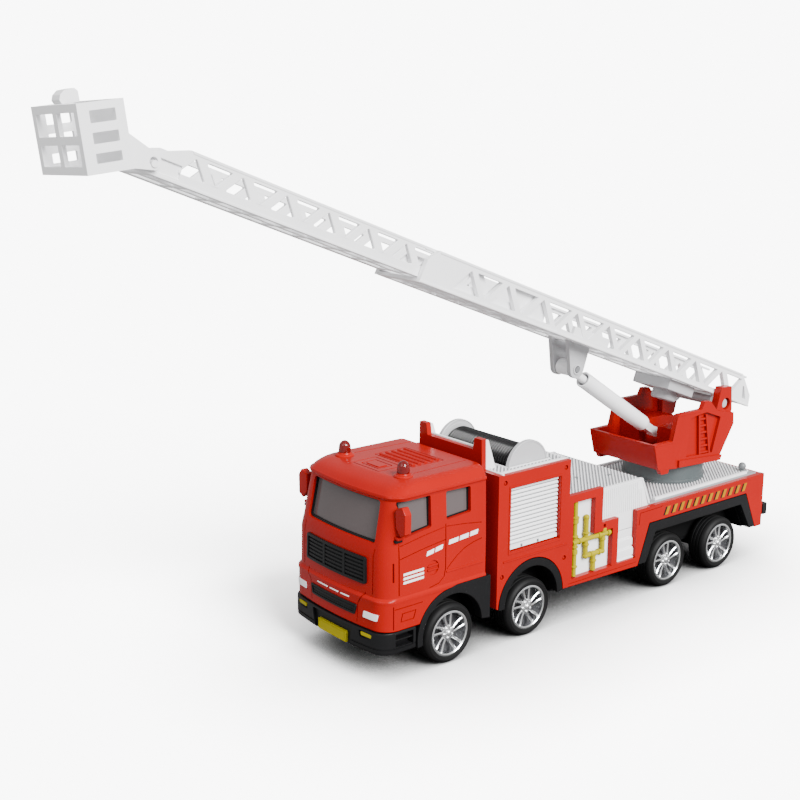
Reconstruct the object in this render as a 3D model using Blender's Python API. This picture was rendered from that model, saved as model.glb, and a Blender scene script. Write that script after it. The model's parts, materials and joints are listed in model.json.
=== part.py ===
"""Toy fire engine with a turntable ladder, about 1:50.

The truck is drawn in millimetres: +X is its left side, -Y its front and +Z up, with y = 0 at
the front axle and z = 0 on the floor.  put() scales to metres and moves the origin to the
middle of the object's length.  The ladder stands raised and drawn out over the cab.
"""
import math

import bmesh
import bpy
from mathutils import Matrix, Vector
from mathutils.geometry import tessellate_polygon

# ---------------------------------------------------------------- driving dimensions (mm)
MM = 0.001
ORIGIN_FROM_FRONT_AXLE = 27.26     # the object's middle lies this far behind the front axle
GAP = 0.3                          # running and seating clearance between pieces
WALL = 1.6                         # moulded wall

BODY_HALF = 25.0                   # half the width of the body
SIDE_INNER = 23.0                  # inner face of the red side panels
TYRE_RADIUS = 10.4
AXLE_RADIUS = 1.0
AXLE_Y = (0.0, 36.1, 110.1, 141.3)
WHEEL_SEGMENTS = 24

CAB_BOTTOM = 17.5
CAB_BELT = 28.0
CAB_REAR = 15.5
CAB_CORNER = 6.0                   # front corner radius in plan
CAB_BOW = 1.3                      # how far the front face bulges
# height, front face, half width of the cab's outer skin
CAB_LEVELS = ((17.5, -30.2, 25.0), (27.4, -30.2, 25.0), (28.4, -29.4, 24.7), (42.0, -29.1, 24.7),
              (46.0, -28.0, 24.6), (60.0, -25.2, 24.2), (62.6, -23.8, 23.7), (64.3, -21.0, 22.3),
              (65.2, -17.0, 20.0))
WINDSCREEN = ((-18.1, 45.9), (18.1, 45.9), (17.7, 59.6), (-17.7, 59.6))
FRONT_SIDE_WINDOW = ((-22.0, 59.9), (-19.9, 48.0), (-8.8, 49.4), (-9.0, 60.0))
REAR_SIDE_WINDOW = ((-2.5, 60.0), (-2.3, 50.4), (8.2, 51.1), (8.1, 59.8))
# the inner skin is the outer one, lowered towards the floor by this share of its height
CAB_LINING = (CAB_LEVELS[-1][0] - WALL - CAB_BOTTOM) / (CAB_LEVELS[-1][0] - CAB_BOTTOM)

BOX_FRONT = 20.3                   # front wall of the equipment body
BOX_TOP = 60.6
BOX_REAR = 54.3
MID_DECK = 45.5
REAR_DECK = 35.0
SILL = 12.7
BODY_REAR = 167.2
HORN_TOP = 71.5

REEL_Y, REEL_Z = 39.5, 59.3
REEL_CHEEK_RADIUS = 9.4
REEL_DRUM_RADIUS = 7.2
REEL_HALF = 17.0

SLEW_Y = 134.0                     # turntable axis
TUB_HALF = 16.6
LADDER_PIVOT = (152.5, 63.7)       # y, z of the ladder's hinge
LADDER_ELEVATION = 21.0            # degrees, as drawn
LADDER_HALF = 11.5
LADDER_BOTTOM, LADDER_TOP = 2.4, 14.1      # above the pivot, square to the ladder
LADDER_TAIL, LADDER_NOSE = -20.0, 168.3    # along the ladder from the pivot
EXTENSION_HALF = 9.4
EXTENSION_TAIL, EXTENSION_NOSE = 107.0, 272.0
LIFT_EYE = (78.8, -6.3)            # lift cylinder's upper pin, along and above the ladder
LIFT_FOOT = (127.0, 53.5)          # lift cylinder's lower pivot, y and z
BARREL_RADIUS = 3.1
ROD_RADIUS = 1.5
BASKET_HINGE = (268.6, 6.8)        # along and above the ladder
BASKET_TILT = 6.0                  # degrees, nose down
BASKET_HALF, BASKET_DEPTH, BASKET_HEIGHT = 13.8, 13.4, 18.2

FINISHES = {                       # colour, roughness, metallic
    "red": ((0.80, 0.035, 0.02, 1.0), 0.28, 0.0),
    "white": ((0.86, 0.86, 0.87, 1.0), 0.35, 0.0),
    "black": ((0.02, 0.02, 0.022, 1.0), 0.45, 0.0),
    "tyre": ((0.015, 0.015, 0.016, 1.0), 0.7, 0.0),
    "chrome": ((0.80, 0.81, 0.83, 1.0), 0.15, 1.0),
    "steel": ((0.60, 0.61, 0.63, 1.0), 0.3, 1.0),
    "smoke": ((0.12, 0.10, 0.10, 1.0), 0.1, 0.0),
    "lamp": ((0.50, 0.02, 0.02, 1.0), 0.1, 0.0),
    "yellow": ((0.90, 0.78, 0.02, 1.0), 0.35, 0.0),
    "grey": ((0.42, 0.43, 0.44, 1.0), 0.4, 0.0),
}

PLANES = {
    "XY": lambda a, b, depth: (a, b, depth),
    "XZ": lambda a, b, depth: (a, depth, b),
    "YZ": lambda a, b, depth: (depth, a, b),
}


# ---------------------------------------------------------------- drawing tools
def finish_material(name):
    """One Principled material per finish, made once."""
    material = bpy.data.materials.get(name)
    if material is None:
        material = bpy.data.materials.new(name)
        material.use_nodes = True
        colour, roughness, metallic = FINISHES[name]
        shader = material.node_tree.nodes["Principled BSDF"]
        shader.inputs["Base Color"].default_value = colour
        shader.inputs["Roughness"].default_value = roughness
        shader.inputs["Metallic"].default_value = metallic
    return material


def put(name, bm, finish, origin=(0.0, 0.0, 0.0), turn=0.0):
    """Make an object from a drawing; turn is its rotation about X in degrees."""
    bmesh.ops.recalc_face_normals(bm, faces=bm.faces)
    bm.transform(Matrix.Scale(MM, 4))
    mesh = bpy.data.meshes.new(name)
    bm.to_mesh(mesh)
    bm.free()
    mesh.materials.append(finish_material(finish))
    obj = bpy.data.objects.new(name, mesh)
    bpy.context.scene.collection.objects.link(obj)
    x, y, z = origin
    obj.location = (x * MM, (y - ORIGIN_FROM_FRONT_AXLE) * MM, z * MM)
    obj.rotation_euler = (math.radians(turn), 0.0, 0.0)
    return obj


def combine(obj, operation, bm):
    """Join a second drawing to an object, or cut it away; it stays as a wire guide."""
    tool = put(f"tool_{operation.lower()}_{obj.name}", bm, "grey")
    tool.location = obj.location
    tool.rotation_euler = obj.rotation_euler
    tool.hide_render = True
    tool.display_type = "WIRE"
    modifier = obj.modifiers.new(operation.title(), "BOOLEAN")
    modifier.operation = operation
    modifier.solver = "EXACT"
    modifier.use_self = True
    modifier.object = tool


def prism(bm, plane, outline, span, holes=()):
    """Extrude a flat outline with holes between two depths across its plane."""
    place = PLANES[plane]
    loops = [list(outline)] + [list(hole) for hole in holes]
    triangles = tessellate_polygon([[Vector((a, b, 0.0)) for a, b in loop] for loop in loops])
    near, far = ([bm.verts.new(place(a, b, depth)) for loop in loops for a, b in loop]
                 for depth in span)
    for triangle in triangles:
        bm.faces.new([near[i] for i in triangle])
        bm.faces.new([far[i] for i in reversed(triangle)])
    start = 0
    for loop in loops:
        count = len(loop)
        for i in range(count):
            a, b = start + i, start + (i + 1) % count
            bm.faces.new((near[a], near[b], far[b], far[a]))
        start += count


def block(bm, x_span, y_span, z_span):
    """A rectangular block between three pairs of faces."""
    (x0, x1), (y0, y1) = x_span, y_span
    prism(bm, "XY", ((x0, y0), (x1, y0), (x1, y1), (x0, y1)), z_span)


def turned(bm, profile, centre=(0.0, 0.0, 0.0), axis="X", segments=WHEEL_SEGMENTS):
    """Spin a (radius, along) profile about an axis; a profile from pole to pole stays open."""
    order = {"X": (2, 0, 1), "Y": (0, 2, 1), "Z": (0, 1, 2)}[axis]
    rings = []
    for radius, along in profile:
        ring = []
        for i in range(segments if radius > 0.0 else 1):
            angle = 2.0 * math.pi * i / segments
            local = (radius * math.sin(angle), -radius * math.cos(angle), along)
            ring.append(bm.verts.new([local[order[k]] + centre[k] for k in range(3)]))
        rings.append(ring)
    poles = profile[0][0] == 0.0
    for first, second in zip(rings, rings[1:] if poles else rings[1:] + rings[:1]):
        for i in range(segments):
            j = (i + 1) % segments
            corners = [first[i % len(first)], first[j % len(first)],
                       second[j % len(second)], second[i % len(second)]]
            face = list(dict.fromkeys(corners))
            if len(face) > 2:
                bm.faces.new(face)


def cylinder(bm, radius, span, centre=(0.0, 0.0, 0.0), axis="X", segments=16):
    """A plain round bar."""
    turned(bm, ((0.0, span[0]), (radius, span[0]), (radius, span[1]), (0.0, span[1])),
           centre, axis, segments)


def circle(centre, radius, segments=16):
    """Points of a whole circle in a drawing plane."""
    return [(centre[0] + radius * math.cos(2.0 * math.pi * i / segments),
             centre[1] + radius * math.sin(2.0 * math.pi * i / segments)) for i in range(segments)]


def arc(centre, radius, start, end, steps):
    """Points of an arc from one angle to another, in degrees."""
    return [(centre[0] + radius * math.cos(math.radians(start + (end - start) * i / steps)),
             centre[1] + radius * math.sin(math.radians(start + (end - start) * i / steps)))
            for i in range(steps + 1)]


def sided(side, low, high):
    """A span across X on the left (+1) or the right (-1) side of the truck."""
    return (side * low, side * high)


# ---------------------------------------------------------------- chassis, wheels and arches
def chassis():
    """Black base plate with a saddle under the body for each axle."""
    bottom, top, saddle, half_saddle = 11.6, 13.4, 7.4, 3.6
    outline = [(-26.0, top), (-26.0, bottom)]
    for y in AXLE_Y:
        outline += [(y - half_saddle, bottom), (y - half_saddle, saddle),
                    (y + half_saddle, saddle), (y + half_saddle, bottom)]
    outline += [(162.0, bottom), (162.0, top)]
    bearings = [circle((y, TYRE_RADIUS), AXLE_RADIUS + GAP, 12) for y in AXLE_Y]
    bm = bmesh.new()
    prism(bm, "YZ", outline, (-14.5, 14.5), bearings)
    plate = put("chassis", bm, "black")
    wings = bmesh.new()
    for span in ((-25.0, -15.5), (50.0, 91.5)):
        block(wings, (-20.7, 20.7), span, (bottom + 0.2, top - 0.2))
    combine(plate, "UNION", wings)


def wheels():
    """Four steel axles, each with two chromed rims and two tyres pushed on."""
    inner, outer = 16.6, 24.6
    tyre = ((8.3, inner + 0.3), (8.3, outer - 0.3), (9.6, outer), (TYRE_RADIUS, outer - 1.0),
            (TYRE_RADIUS, inner + 1.0), (9.6, inner))
    rim = ((0.0, 23.5), (2.0, 23.6), (6.6, 23.0), (7.2, 24.2), (8.0, 24.2), (8.0, 17.0),
           (AXLE_RADIUS + GAP, 17.0), (AXLE_RADIUS + GAP, 23.0), (0.0, 23.0))
    for number, y in enumerate(AXLE_Y, 1):
        centre = (0.0, y, TYRE_RADIUS)
        bm = bmesh.new()
        cylinder(bm, AXLE_RADIUS, (-22.7, 22.7), segments=12)
        put(f"axle_{number}", bm, "steel", centre)
        for side, word in ((1, "left"), (-1, "right")):
            for name, profile, finish in (("rim", rim, "chrome"), ("tyre", tyre, "tyre")):
                bm = bmesh.new()
                turned(bm, [(radius, side * along) for radius, along in profile])
                put(f"{name}_{number}_{word}", bm, finish, centre)


def arches():
    """Black wheel arches; the front one carries the panel behind the wheel."""
    front = arc((0.5, 11.5), 15.2, 188, 96, 8) + [(1.0, 27.3), (17.1, 27.3), (17.1, 11.9)]
    front += arc((0.5, 11.5), 12.9, 4, 188, 12)
    middle = arc((36.6, 12.9), 15.4, 180, 0, 14) + arc((36.6, 12.9), 12.6, 0, 180, 14)
    rear = [(92.4, 13.0), (97.9, 28.0), (155.8, 28.0), (162.8, 13.0),
            (159.4, 13.0), (152.8, 24.2), (101.3, 24.2), (96.4, 13.0)]
    for side, word in ((1, "left"), (-1, "right")):
        for name, outline, depth in (("front", front, 21.5), ("middle", middle, 21.0),
                                     ("rear", rear, 20.6)):
            bm = bmesh.new()
            prism(bm, "YZ", outline, sided(side, depth, BODY_HALF + 0.2))
            put(f"{name}_arch_{word}", bm, "black")


# ---------------------------------------------------------------- cab
def cab_level(z):
    """Front face and half width of the cab's skin at a height."""
    for (z0, front0, half0), (z1, front1, half1) in zip(CAB_LEVELS, CAB_LEVELS[1:]):
        if z <= z1:
            t = max(0.0, (z - z0) / (z1 - z0))
            return front0 + t * (front1 - front0), half0 + t * (half1 - half0)
    return CAB_LEVELS[-1][1:]


def front_face(x, front, half):
    """Y of the bowed front face at x."""
    return front + CAB_BOW * (x / (half - CAB_CORNER)) ** 2


def cab_section(front, half, inset=0.0):
    """Half outline in plan from the rear, round the front corner to the middle, then mirrored."""
    corner = (half - CAB_CORNER, front + CAB_BOW + CAB_CORNER)
    rear = CAB_REAR - inset
    points = [(half - inset - 1.0, rear), (half - inset, rear - 1.0)]
    points += arc(corner, CAB_CORNER - inset, 0, -90, 5)
    for share in (0.66, 0.33):
        x = share * corner[0]
        points.append((x, front_face(x, front, half) + inset))
    mirrored = [(-x, y) for x, y in reversed(points)]
    return points + [(0.0, front + inset)] + mirrored


def loft(bm, rings, round_trip=False):
    """Skin a row of rings of equal length; its ends are capped, or joined on a round trip."""
    layers = [[bm.verts.new(point) for point in ring] for ring in rings]
    for low, high in zip(layers, layers[1:] + (layers[:1] if round_trip else [])):
        for i in range(len(low)):
            j = (i + 1) % len(low)
            bm.faces.new((low[i], low[j], high[j], high[i]))
    if not round_trip:
        bm.faces.new(layers[0])
        bm.faces.new(layers[-1])


def ring_at(z, front, half, inset=0.0):
    """One cab outline as 3-D points."""
    return [(x, y, z) for x, y in cab_section(front, half, inset)]


def mirrors_drawing():
    """Six-sided mirror housings that grow out of the windscreen pillars."""
    outline = ((23.6, 52.0), (26.6, 49.4), (28.8, 50.8), (28.8, 57.4), (27.2, 59.4), (23.6, 58.0))
    bm = bmesh.new()
    for side in (1, -1):
        prism(bm, "XZ", [(side * x, z) for x, z in outline], (-22.9, -20.4))
    return bm


def cab_shell():
    """Red cab moulding, open below, with its window openings and wheel cut-outs."""
    outside = [ring_at(*level) for level in CAB_LEVELS]
    inside = [ring_at(CAB_BOTTOM + (z - CAB_BOTTOM) * CAB_LINING, front, half, WALL)
              for z, front, half in CAB_LEVELS]
    bm = bmesh.new()
    loft(bm, list(reversed(outside)) + inside)
    shell = put("cab_shell", bm, "red")
    combine(shell, "UNION", mirrors_drawing())
    cut = bmesh.new()
    prism(cut, "XZ", WINDSCREEN, (-40.0, -19.0))
    for window in (FRONT_SIDE_WINDOW, REAR_SIDE_WINDOW):
        prism(cut, "YZ", window, (-40.0, 40.0))
    wheel = [(-14.0, 10.0)] + arc((0.5, 11.5), 15.5, 158, 94, 6)
    wheel += [(2.0, CAB_BELT - GAP), (30.0, CAB_BELT - GAP), (30.0, 10.0)]
    prism(cut, "YZ", wheel, (-41.0, 41.0))
    combine(shell, "DIFFERENCE", cut)


def cab_windows():
    """Smoky one-piece window band pushed up inside the cab."""
    outer, inner = [], []
    for z in (46.6, 60.0, 61.6):
        front, half = cab_level(CAB_BOTTOM + (z - CAB_BOTTOM) / CAB_LINING)
        outer.append(ring_at(z, front, half, WALL + GAP))
        inner.append(ring_at(z, front, half, WALL + GAP + 1.0))
    bm = bmesh.new()
    loft(bm, outer + list(reversed(inner)), round_trip=True)
    put("cab_windows", bm, "smoke")


def face_plate(name, half_bottom, half_top, z_span, thickness, columns=9):
    """A black plate that follows the cab's bowed front face."""
    bm = bmesh.new()
    rings = []
    for z, half_width in zip(z_span, (half_bottom, half_top)):
        front, half = cab_level(z)
        xs = [half_width * (2.0 * i / (columns - 1) - 1.0) for i in range(columns)]
        back = [(x, front_face(x, front, half) - GAP, z) for x in xs]
        face = [(x, y - thickness, z) for x, y, z in reversed(back)]
        rings.append(back + face)
    loft(bm, rings)
    put(name, bm, "black")


def front_bumper():
    """Black bumper wrapped round the cab's lower corners."""
    front, half, depth, end = -31.0, BODY_HALF, 2.4, -15.4
    outer = [point for point in cab_section(front, half) if point[1] < end]
    inner = [point for point in cab_section(front, half, depth) if point[1] < end]
    outline = [(half, end)] + outer + [(-half, end), (depth - half, end)]
    outline += list(reversed(inner)) + [(half - depth, end)]
    bm = bmesh.new()
    prism(bm, "XY", outline, (9.7, CAB_BOTTOM - GAP))
    put("front_bumper", bm, "black")


def beacons():
    """Clear red beacons on round bases near the front of the roof."""
    base = CAB_LEVELS[-1][0] + GAP
    profile = ((0.0, 0.0), (3.0, 0.0), (3.0, 0.9), (1.9, 1.0), (1.9, 3.2), (1.1, 4.6), (0.0, 5.0))
    for side, word in ((1, "left"), (-1, "right")):
        bm = bmesh.new()
        turned(bm, [(radius, base + along) for radius, along in profile],
               (side * 15.6, -13.2, 0.0), "Z", 16)
        put(f"beacon_{word}", bm, "lamp")


# ---------------------------------------------------------------- equipment body
def side_outline():
    """Red side panel in side view, with the openings for the two arches in its lower edge."""
    outline = [(BOX_FRONT, BOX_TOP), (BOX_FRONT, 13.8)]
    outline += arc((36.6, 12.9), 15.7, 178, 2, 14)
    outline += [(91.9, SILL), (97.6, 28.3), (156.1, 28.3), (163.2, SILL), (BODY_REAR, SILL)]
    outline += [(BODY_REAR, 34.6), (90.4, 34.6), (90.4, 16.2), (80.4, 16.2), (80.4, 34.0)]
    outline += [(71.6, 34.0), (71.6, 47.2), (BOX_REAR, 47.2), (BOX_REAR, BOX_TOP)]
    return outline


def body_shell():
    """Red body: two side panels, the front wall with its two horns and the tail board."""
    shutter = ((25.9, 33.0), (49.5, 33.0), (49.5, 55.5), (25.9, 55.5))
    pipes = ((56.5, 16.0), (77.4, 16.0), (77.4, 30.6), (67.6, 30.6), (67.6, 44.3), (56.5, 44.3))
    bm = bmesh.new()
    prism(bm, "YZ", side_outline(), (SIDE_INNER, BODY_HALF), (shutter, pipes))
    body = put("body_shell", bm, "red")
    rest = bmesh.new()
    prism(rest, "YZ", side_outline(), (-BODY_HALF, -SIDE_INNER), (shutter, pipes))
    half_wall = [(BODY_HALF, 13.8), (BODY_HALF, BOX_TOP + 0.2), (16.4, BOX_TOP + 0.2),
                 (16.1, HORN_TOP), (12.5, HORN_TOP), (11.8, 67.4)]
    wall = half_wall + [(-x, z) for x, z in reversed(half_wall)]
    prism(rest, "XZ", wall, (BOX_FRONT - 0.2, BOX_FRONT + 1.8))
    tail_board = (BODY_REAR - 2.0, BODY_REAR + 0.2)
    block(rest, (-BODY_HALF + 0.2, BODY_HALF - 0.2), tail_board, (13.5, 34.4))
    combine(body, "UNION", rest)
    wheel = bmesh.new()
    opening = arc((36.6, 12.9), 15.7, 178, 2, 14) + [(52.3, 5.0), (20.9, 5.0)]
    prism(wheel, "YZ", opening, (-30.0, 30.0))
    combine(body, "DIFFERENCE", wheel)


def deck():
    """White ribbed deck in three levels, with side skirts, steps and the reel's well."""
    front, rear, half = BOX_FRONT + 1.8 + GAP, BODY_REAR - 2.0 - GAP, SIDE_INNER - GAP
    outside = [(front, BOX_TOP), (BOX_REAR, BOX_TOP), (BOX_REAR, MID_DECK), (95.0, MID_DECK),
               (99.5, REAR_DECK), (rear, REAR_DECK)]
    inside = [(rear, REAR_DECK - WALL), (98.2, REAR_DECK - WALL), (93.8, MID_DECK - WALL),
              (BOX_REAR - WALL, MID_DECK - WALL), (BOX_REAR - WALL, BOX_TOP - WALL),
              (front, BOX_TOP - WALL)]
    bm = bmesh.new()
    prism(bm, "YZ", outside + inside, (-half, half))
    plate = put("deck", bm, "white")
    rest = bmesh.new()
    skirt = [(BOX_REAR - 1.0, 14.6), (91.0, 14.6), (91.0, 34.0), (99.0, 34.0), (95.0, MID_DECK - 0.2),
             (BOX_REAR - 1.0, MID_DECK - 0.2)]
    steps = [(half - 1.0, 34.8)]
    for level in range(5):
        reach = half - 0.6 + 0.5 * level
        steps += [(reach, 34.8 - 3.7 * level), (reach, 34.8 - 3.7 * (level + 1))]
    steps += [(half - 1.0, 34.8 - 3.7 * 5)]
    gusset = ((front, BOX_TOP - 0.3), (front + 4.6, BOX_TOP - 0.3), (front + 1.0, HORN_TOP - 0.6),
              (front, HORN_TOP - 0.6))
    for side in (1, -1):
        prism(rest, "YZ", skirt, sided(side, half - WALL, half))
        prism(rest, "XZ", [(side * x, z) for x, z in steps], (80.7, 90.1))
        prism(rest, "YZ", gusset, sided(side, 12.8, 15.8))
        rail = sided(side, half - 2.0, half - 0.8)
        block(rest, rail, (104.0, 160.0), (REAR_DECK - 0.3, REAR_DECK + 0.7))
    combine(plate, "UNION", rest)
    cut = bmesh.new()
    well_x, well_y = REEL_HALF + 2.2, REEL_CHEEK_RADIUS + GAP
    block(cut, (-well_x, well_x), (REEL_Y - well_y, REEL_Y + well_y), (50.0, 70.0))
    cylinder(cut, 2.5, (20.0, 40.0), (0.0, SLEW_Y, 0.0), "Z", 12)
    combine(plate, "DIFFERENCE", cut)


def shutters():
    """White roller shutters set back in the side openings."""
    slats, bottom, top = 12, 33.4, 55.1
    pitch = (top - bottom) / slats
    face = [(22.6, bottom)]
    for i in range(slats):
        z = bottom + i * pitch
        face += [(24.0, z + 0.15 * pitch), (23.6, z + 0.9 * pitch)]
    face.append((22.6, top))
    for side, word in ((1, "left"), (-1, "right")):
        bm = bmesh.new()
        # The back stays 0.3 mm clear of the deck's well and skirts.
        outline = [(side * (x + 0.3), z) for x, z in face]
        prism(bm, "XZ", outline, (26.3, 49.1))
        put(f"shutter_{word}", bm, "white")


def pump_pipes():
    """Yellow pump pipework in the window of each side panel."""
    x, radius = 23.9, 0.9
    uprights = ((58.6, 16.5, 43.9), (64.4, 22.5, 38.0), (73.2, 22.5, 30.2), (68.6, 16.5, 22.9))
    levels = ((22.6, 63.8, 73.8), (29.0, 57.8, 76.8))
    for side, word in ((1, "left"), (-1, "right")):
        bm = bmesh.new()
        cylinder(bm, radius, uprights[0][1:], (side * x, uprights[0][0], 0.0), "Z", 8)
        pipes = put(f"pump_pipes_{word}", bm, "yellow")
        rest = bmesh.new()
        for y, low, high in uprights[1:]:
            cylinder(rest, radius, (low, high), (side * x, y, 0.0), "Z", 8)
        for z, low, high in levels:
            cylinder(rest, radius, (low, high), (side * x, 0.0, z), "Y", 8)
        combine(pipes, "UNION", rest)


def hose_reel():
    """Black drum that turns between two round cheeks set in the deck."""
    bore = 1.6
    for side, word in ((1, "left"), (-1, "right")):
        bm = bmesh.new()
        profile = ((bore, REEL_HALF + GAP), (REEL_CHEEK_RADIUS, REEL_HALF + GAP),
                   (REEL_CHEEK_RADIUS, REEL_HALF + 1.8), (bore, REEL_HALF + 1.8))
        turned(bm, [(radius, side * along) for radius, along in profile], segments=28)
        put(f"reel_cheek_{word}", bm, "white", (0.0, REEL_Y, REEL_Z))
    stub, end = bore - GAP, REEL_HALF + 1.6
    bm = bmesh.new()
    turned(bm, ((0.0, -end), (stub, -end), (stub, -REEL_HALF), (REEL_DRUM_RADIUS, -REEL_HALF),
                (REEL_DRUM_RADIUS, REEL_HALF), (stub, REEL_HALF), (stub, end), (0.0, end)))
    put("hose_drum", bm, "black", (0.0, REEL_Y, REEL_Z))


def rear_fittings():
    """Black rear bumper and the grey ball knob on the deck's rear corner."""
    bm = bmesh.new()
    block(bm, (-23.5, 23.5), (BODY_REAR + 0.2 + GAP, 171.0), (17.0, 21.4))
    put("rear_bumper", bm, "black")
    bm = bmesh.new()
    base = REAR_DECK + GAP
    turned(bm, ((0.0, base), (0.8, base), (0.8, base + 0.8), (1.6, base + 1.6), (1.6, base + 2.6),
                (0.8, base + 3.4), (0.0, base + 3.5)), (18.6, 161.0, 0.0), "Z", 12)
    put("rear_knob", bm, "grey")


def chassis_screws():
    """Two screws that hold the body down on the chassis."""
    profile = ((0.0, 10.2), (2.2, 10.2), (2.2, 11.3), (0.0, 11.3))
    for y, word in ((18.0, "front"), (125.0, "rear")):
        bm = bmesh.new()
        turned(bm, profile, (0.0, y, 0.0), "Z", 12)
        put(f"chassis_screw_{word}", bm, "steel")


# ---------------------------------------------------------------- turntable
def turntable():
    """Grey plinth on the deck and the pivot screw that holds the tub on it."""
    bm = bmesh.new()
    turned(bm, ((2.5, REAR_DECK + GAP), (16.2, REAR_DECK + GAP), (15.6, 42.2), (2.5, 42.2)),
           (0.0, SLEW_Y, 0.0), "Z", 32)
    put("turntable_base", bm, "grey")
    bm = bmesh.new()
    turned(bm, ((0.0, 30.0), (2.2, 30.0), (2.2, 45.4), (3.6, 45.4), (3.6, 46.8), (0.0, 47.0)),
           (0.0, 0.0, 0.0), "Z", 12)
    put("turret_pivot", bm, "steel", (0.0, SLEW_Y, 0.0))


def turret_tub():
    """Red tub that slews, with the two posts that carry the ladder."""
    y0 = SLEW_Y
    inner = TUB_HALF - 2.0
    floor = [(108.6, 54.1), (111.2, 44.2), (121.5, 43.0), (147.8, 42.6), (146.6, 44.6), (113.6, 45.6),
             (110.9, 54.1)]
    wall = [(111.2, 44.1), (108.5, 54.2), (119.2, 54.2), (121.6, 64.3), (135.8, 64.2), (137.3, 66.9),
            (141.0, 66.7), (145.4, 62.2), (155.9, 60.0), (156.3, 55.4), (147.9, 42.5), (121.5, 42.9)]
    shelf = [(124.0, 44.0), (124.0, 57.0), (138.0, 57.4), (146.4, 56.0), (146.4, 44.0)]
    post = [(147.2, 50.0), (146.6, 62.0), (149.2, 70.8), (155.4, 70.4), (156.4, 61.0), (154.6, 54.6)]
    pin_hole = circle(LADDER_PIVOT, 2.4, 16)

    def local(points):
        return [(y - y0, z) for y, z in points]

    bm = bmesh.new()
    prism(bm, "YZ", local(floor), (-inner - 0.2, inner + 0.2))
    tub = put("turret_tub", bm, "red", (0.0, y0, 0.0))
    rest = bmesh.new()
    for side in (1, -1):
        prism(rest, "YZ", local(wall), sided(side, inner, TUB_HALF))
        prism(rest, "YZ", local(shelf), sided(side, 4.6, inner + 0.3))
        prism(rest, "YZ", local(post), sided(side, 12.1, 15.2), [local(pin_hole)])
    combine(tub, "UNION", rest)
    cut = bmesh.new()
    cylinder(cut, 2.5, (30.0, 60.0), axis="Z", segments=12)
    cylinder(cut, 2.4, (-30.0, 30.0), (0.0, LADDER_PIVOT[0] - y0, LADDER_PIVOT[1]), segments=16)
    combine(tub, "DIFFERENCE", cut)


# ---------------------------------------------------------------- ladder
def truss(start, end, low, high, bays):
    """Triangular holes of a side plate, point up and point down in turn."""
    chord, half_web = 2.1, 0.85
    pitch = (end - start) / bays
    holes = []
    for bay in range(bays):
        left = start + bay * pitch
        upright, inverted = (low + chord, high - chord, 0.0), (high - chord, low + chord, 0.5)
        for flat, point, shift in (upright, inverted):
            if shift and bay == bays - 1:
                continue
            middle = left + (0.5 + shift) * pitch
            reach = 0.5 * pitch - 2.0 * half_web
            holes.append([(-(middle - reach), flat), (-(middle + reach), flat), (-middle, point)])
    return holes


def lattice(start, end, half, bays):
    """Holes of the ladder's floor: a row of openings between the rungs."""
    rung = 1.6
    pitch = (end - start) / bays
    holes = []
    for i in range(bays):
        near, far = -(start + i * pitch + rung), -(start + (i + 1) * pitch)
        holes.append([(-half, near), (half, near), (half, far), (-half, far)])
    return holes


def ladder_point(along, above):
    """World y and z of a point given along and square to the ladder."""
    angle = math.radians(LADDER_ELEVATION)
    return (LADDER_PIVOT[0] - along * math.cos(angle) + above * math.sin(angle),
            LADDER_PIVOT[1] + along * math.sin(angle) + above * math.cos(angle))


def ladder_object(name, bm, finish):
    """Place a piece drawn level, with the pivot at its origin, on the raised ladder."""
    return put(name, bm, finish, (0.0, *LADDER_PIVOT), -LADDER_ELEVATION)


def ladder_base():
    """White outer ladder section: two truss sides, a latticed floor, hinge lugs and lift ears."""
    low, high, inner = LADDER_BOTTOM, LADDER_TOP, LADDER_HALF - 1.8
    side = [(-LADDER_NOSE, low), (-LADDER_NOSE + 1.0, high - 4.0), (-LADDER_NOSE + 5.0, high),
            (10.6, high), (19.0, 7.0), (-LADDER_TAIL, low)]
    lug = [(6.0, low + 1.0), (-6.0, low + 1.0)] + arc((0.0, 0.0), 3.6, 160, 380, 8)
    ear = [(-87.5, low + 0.4), (-75.5, low + 0.4), (-75.3, -6.0)]
    ear += arc((-LIFT_EYE[0], LIFT_EYE[1]), 3.4, 0, -150, 6)
    holes = truss(6.0, LADDER_NOSE - 6.0, low, high, 12)
    bm = bmesh.new()
    prism(bm, "YZ", side, (inner, LADDER_HALF), holes)
    base = ladder_object("ladder_base", bm, "white")
    rest = bmesh.new()
    prism(rest, "YZ", side, (-LADDER_HALF, -inner), holes)
    prism(rest, "XY", [(-inner - 0.2, -LADDER_NOSE + 0.2), (inner + 0.2, -LADDER_NOSE + 0.2),
                       (inner + 0.2, 18.0), (-inner - 0.2, 18.0)], (low + 0.1, low + 1.2),
          lattice(4.0, LADDER_NOSE - 4.0, inner - 1.6, 14))
    combine(base, "UNION", rest)
    fittings = bmesh.new()
    for hand in (1, -1):
        prism(fittings, "YZ", lug, sided(hand, inner + 0.1, LADDER_HALF + 0.3))
        prism(fittings, "YZ", ear, sided(hand, 3.4, 5.2))
    combine(base, "UNION", fittings)
    cut = bmesh.new()
    cylinder(cut, 2.2, (-20.0, 20.0), segments=16)
    cylinder(cut, 1.4, (-8.0, 8.0), (0.0, -LIFT_EYE[0], LIFT_EYE[1]), segments=12)
    combine(base, "DIFFERENCE", cut)


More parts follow.
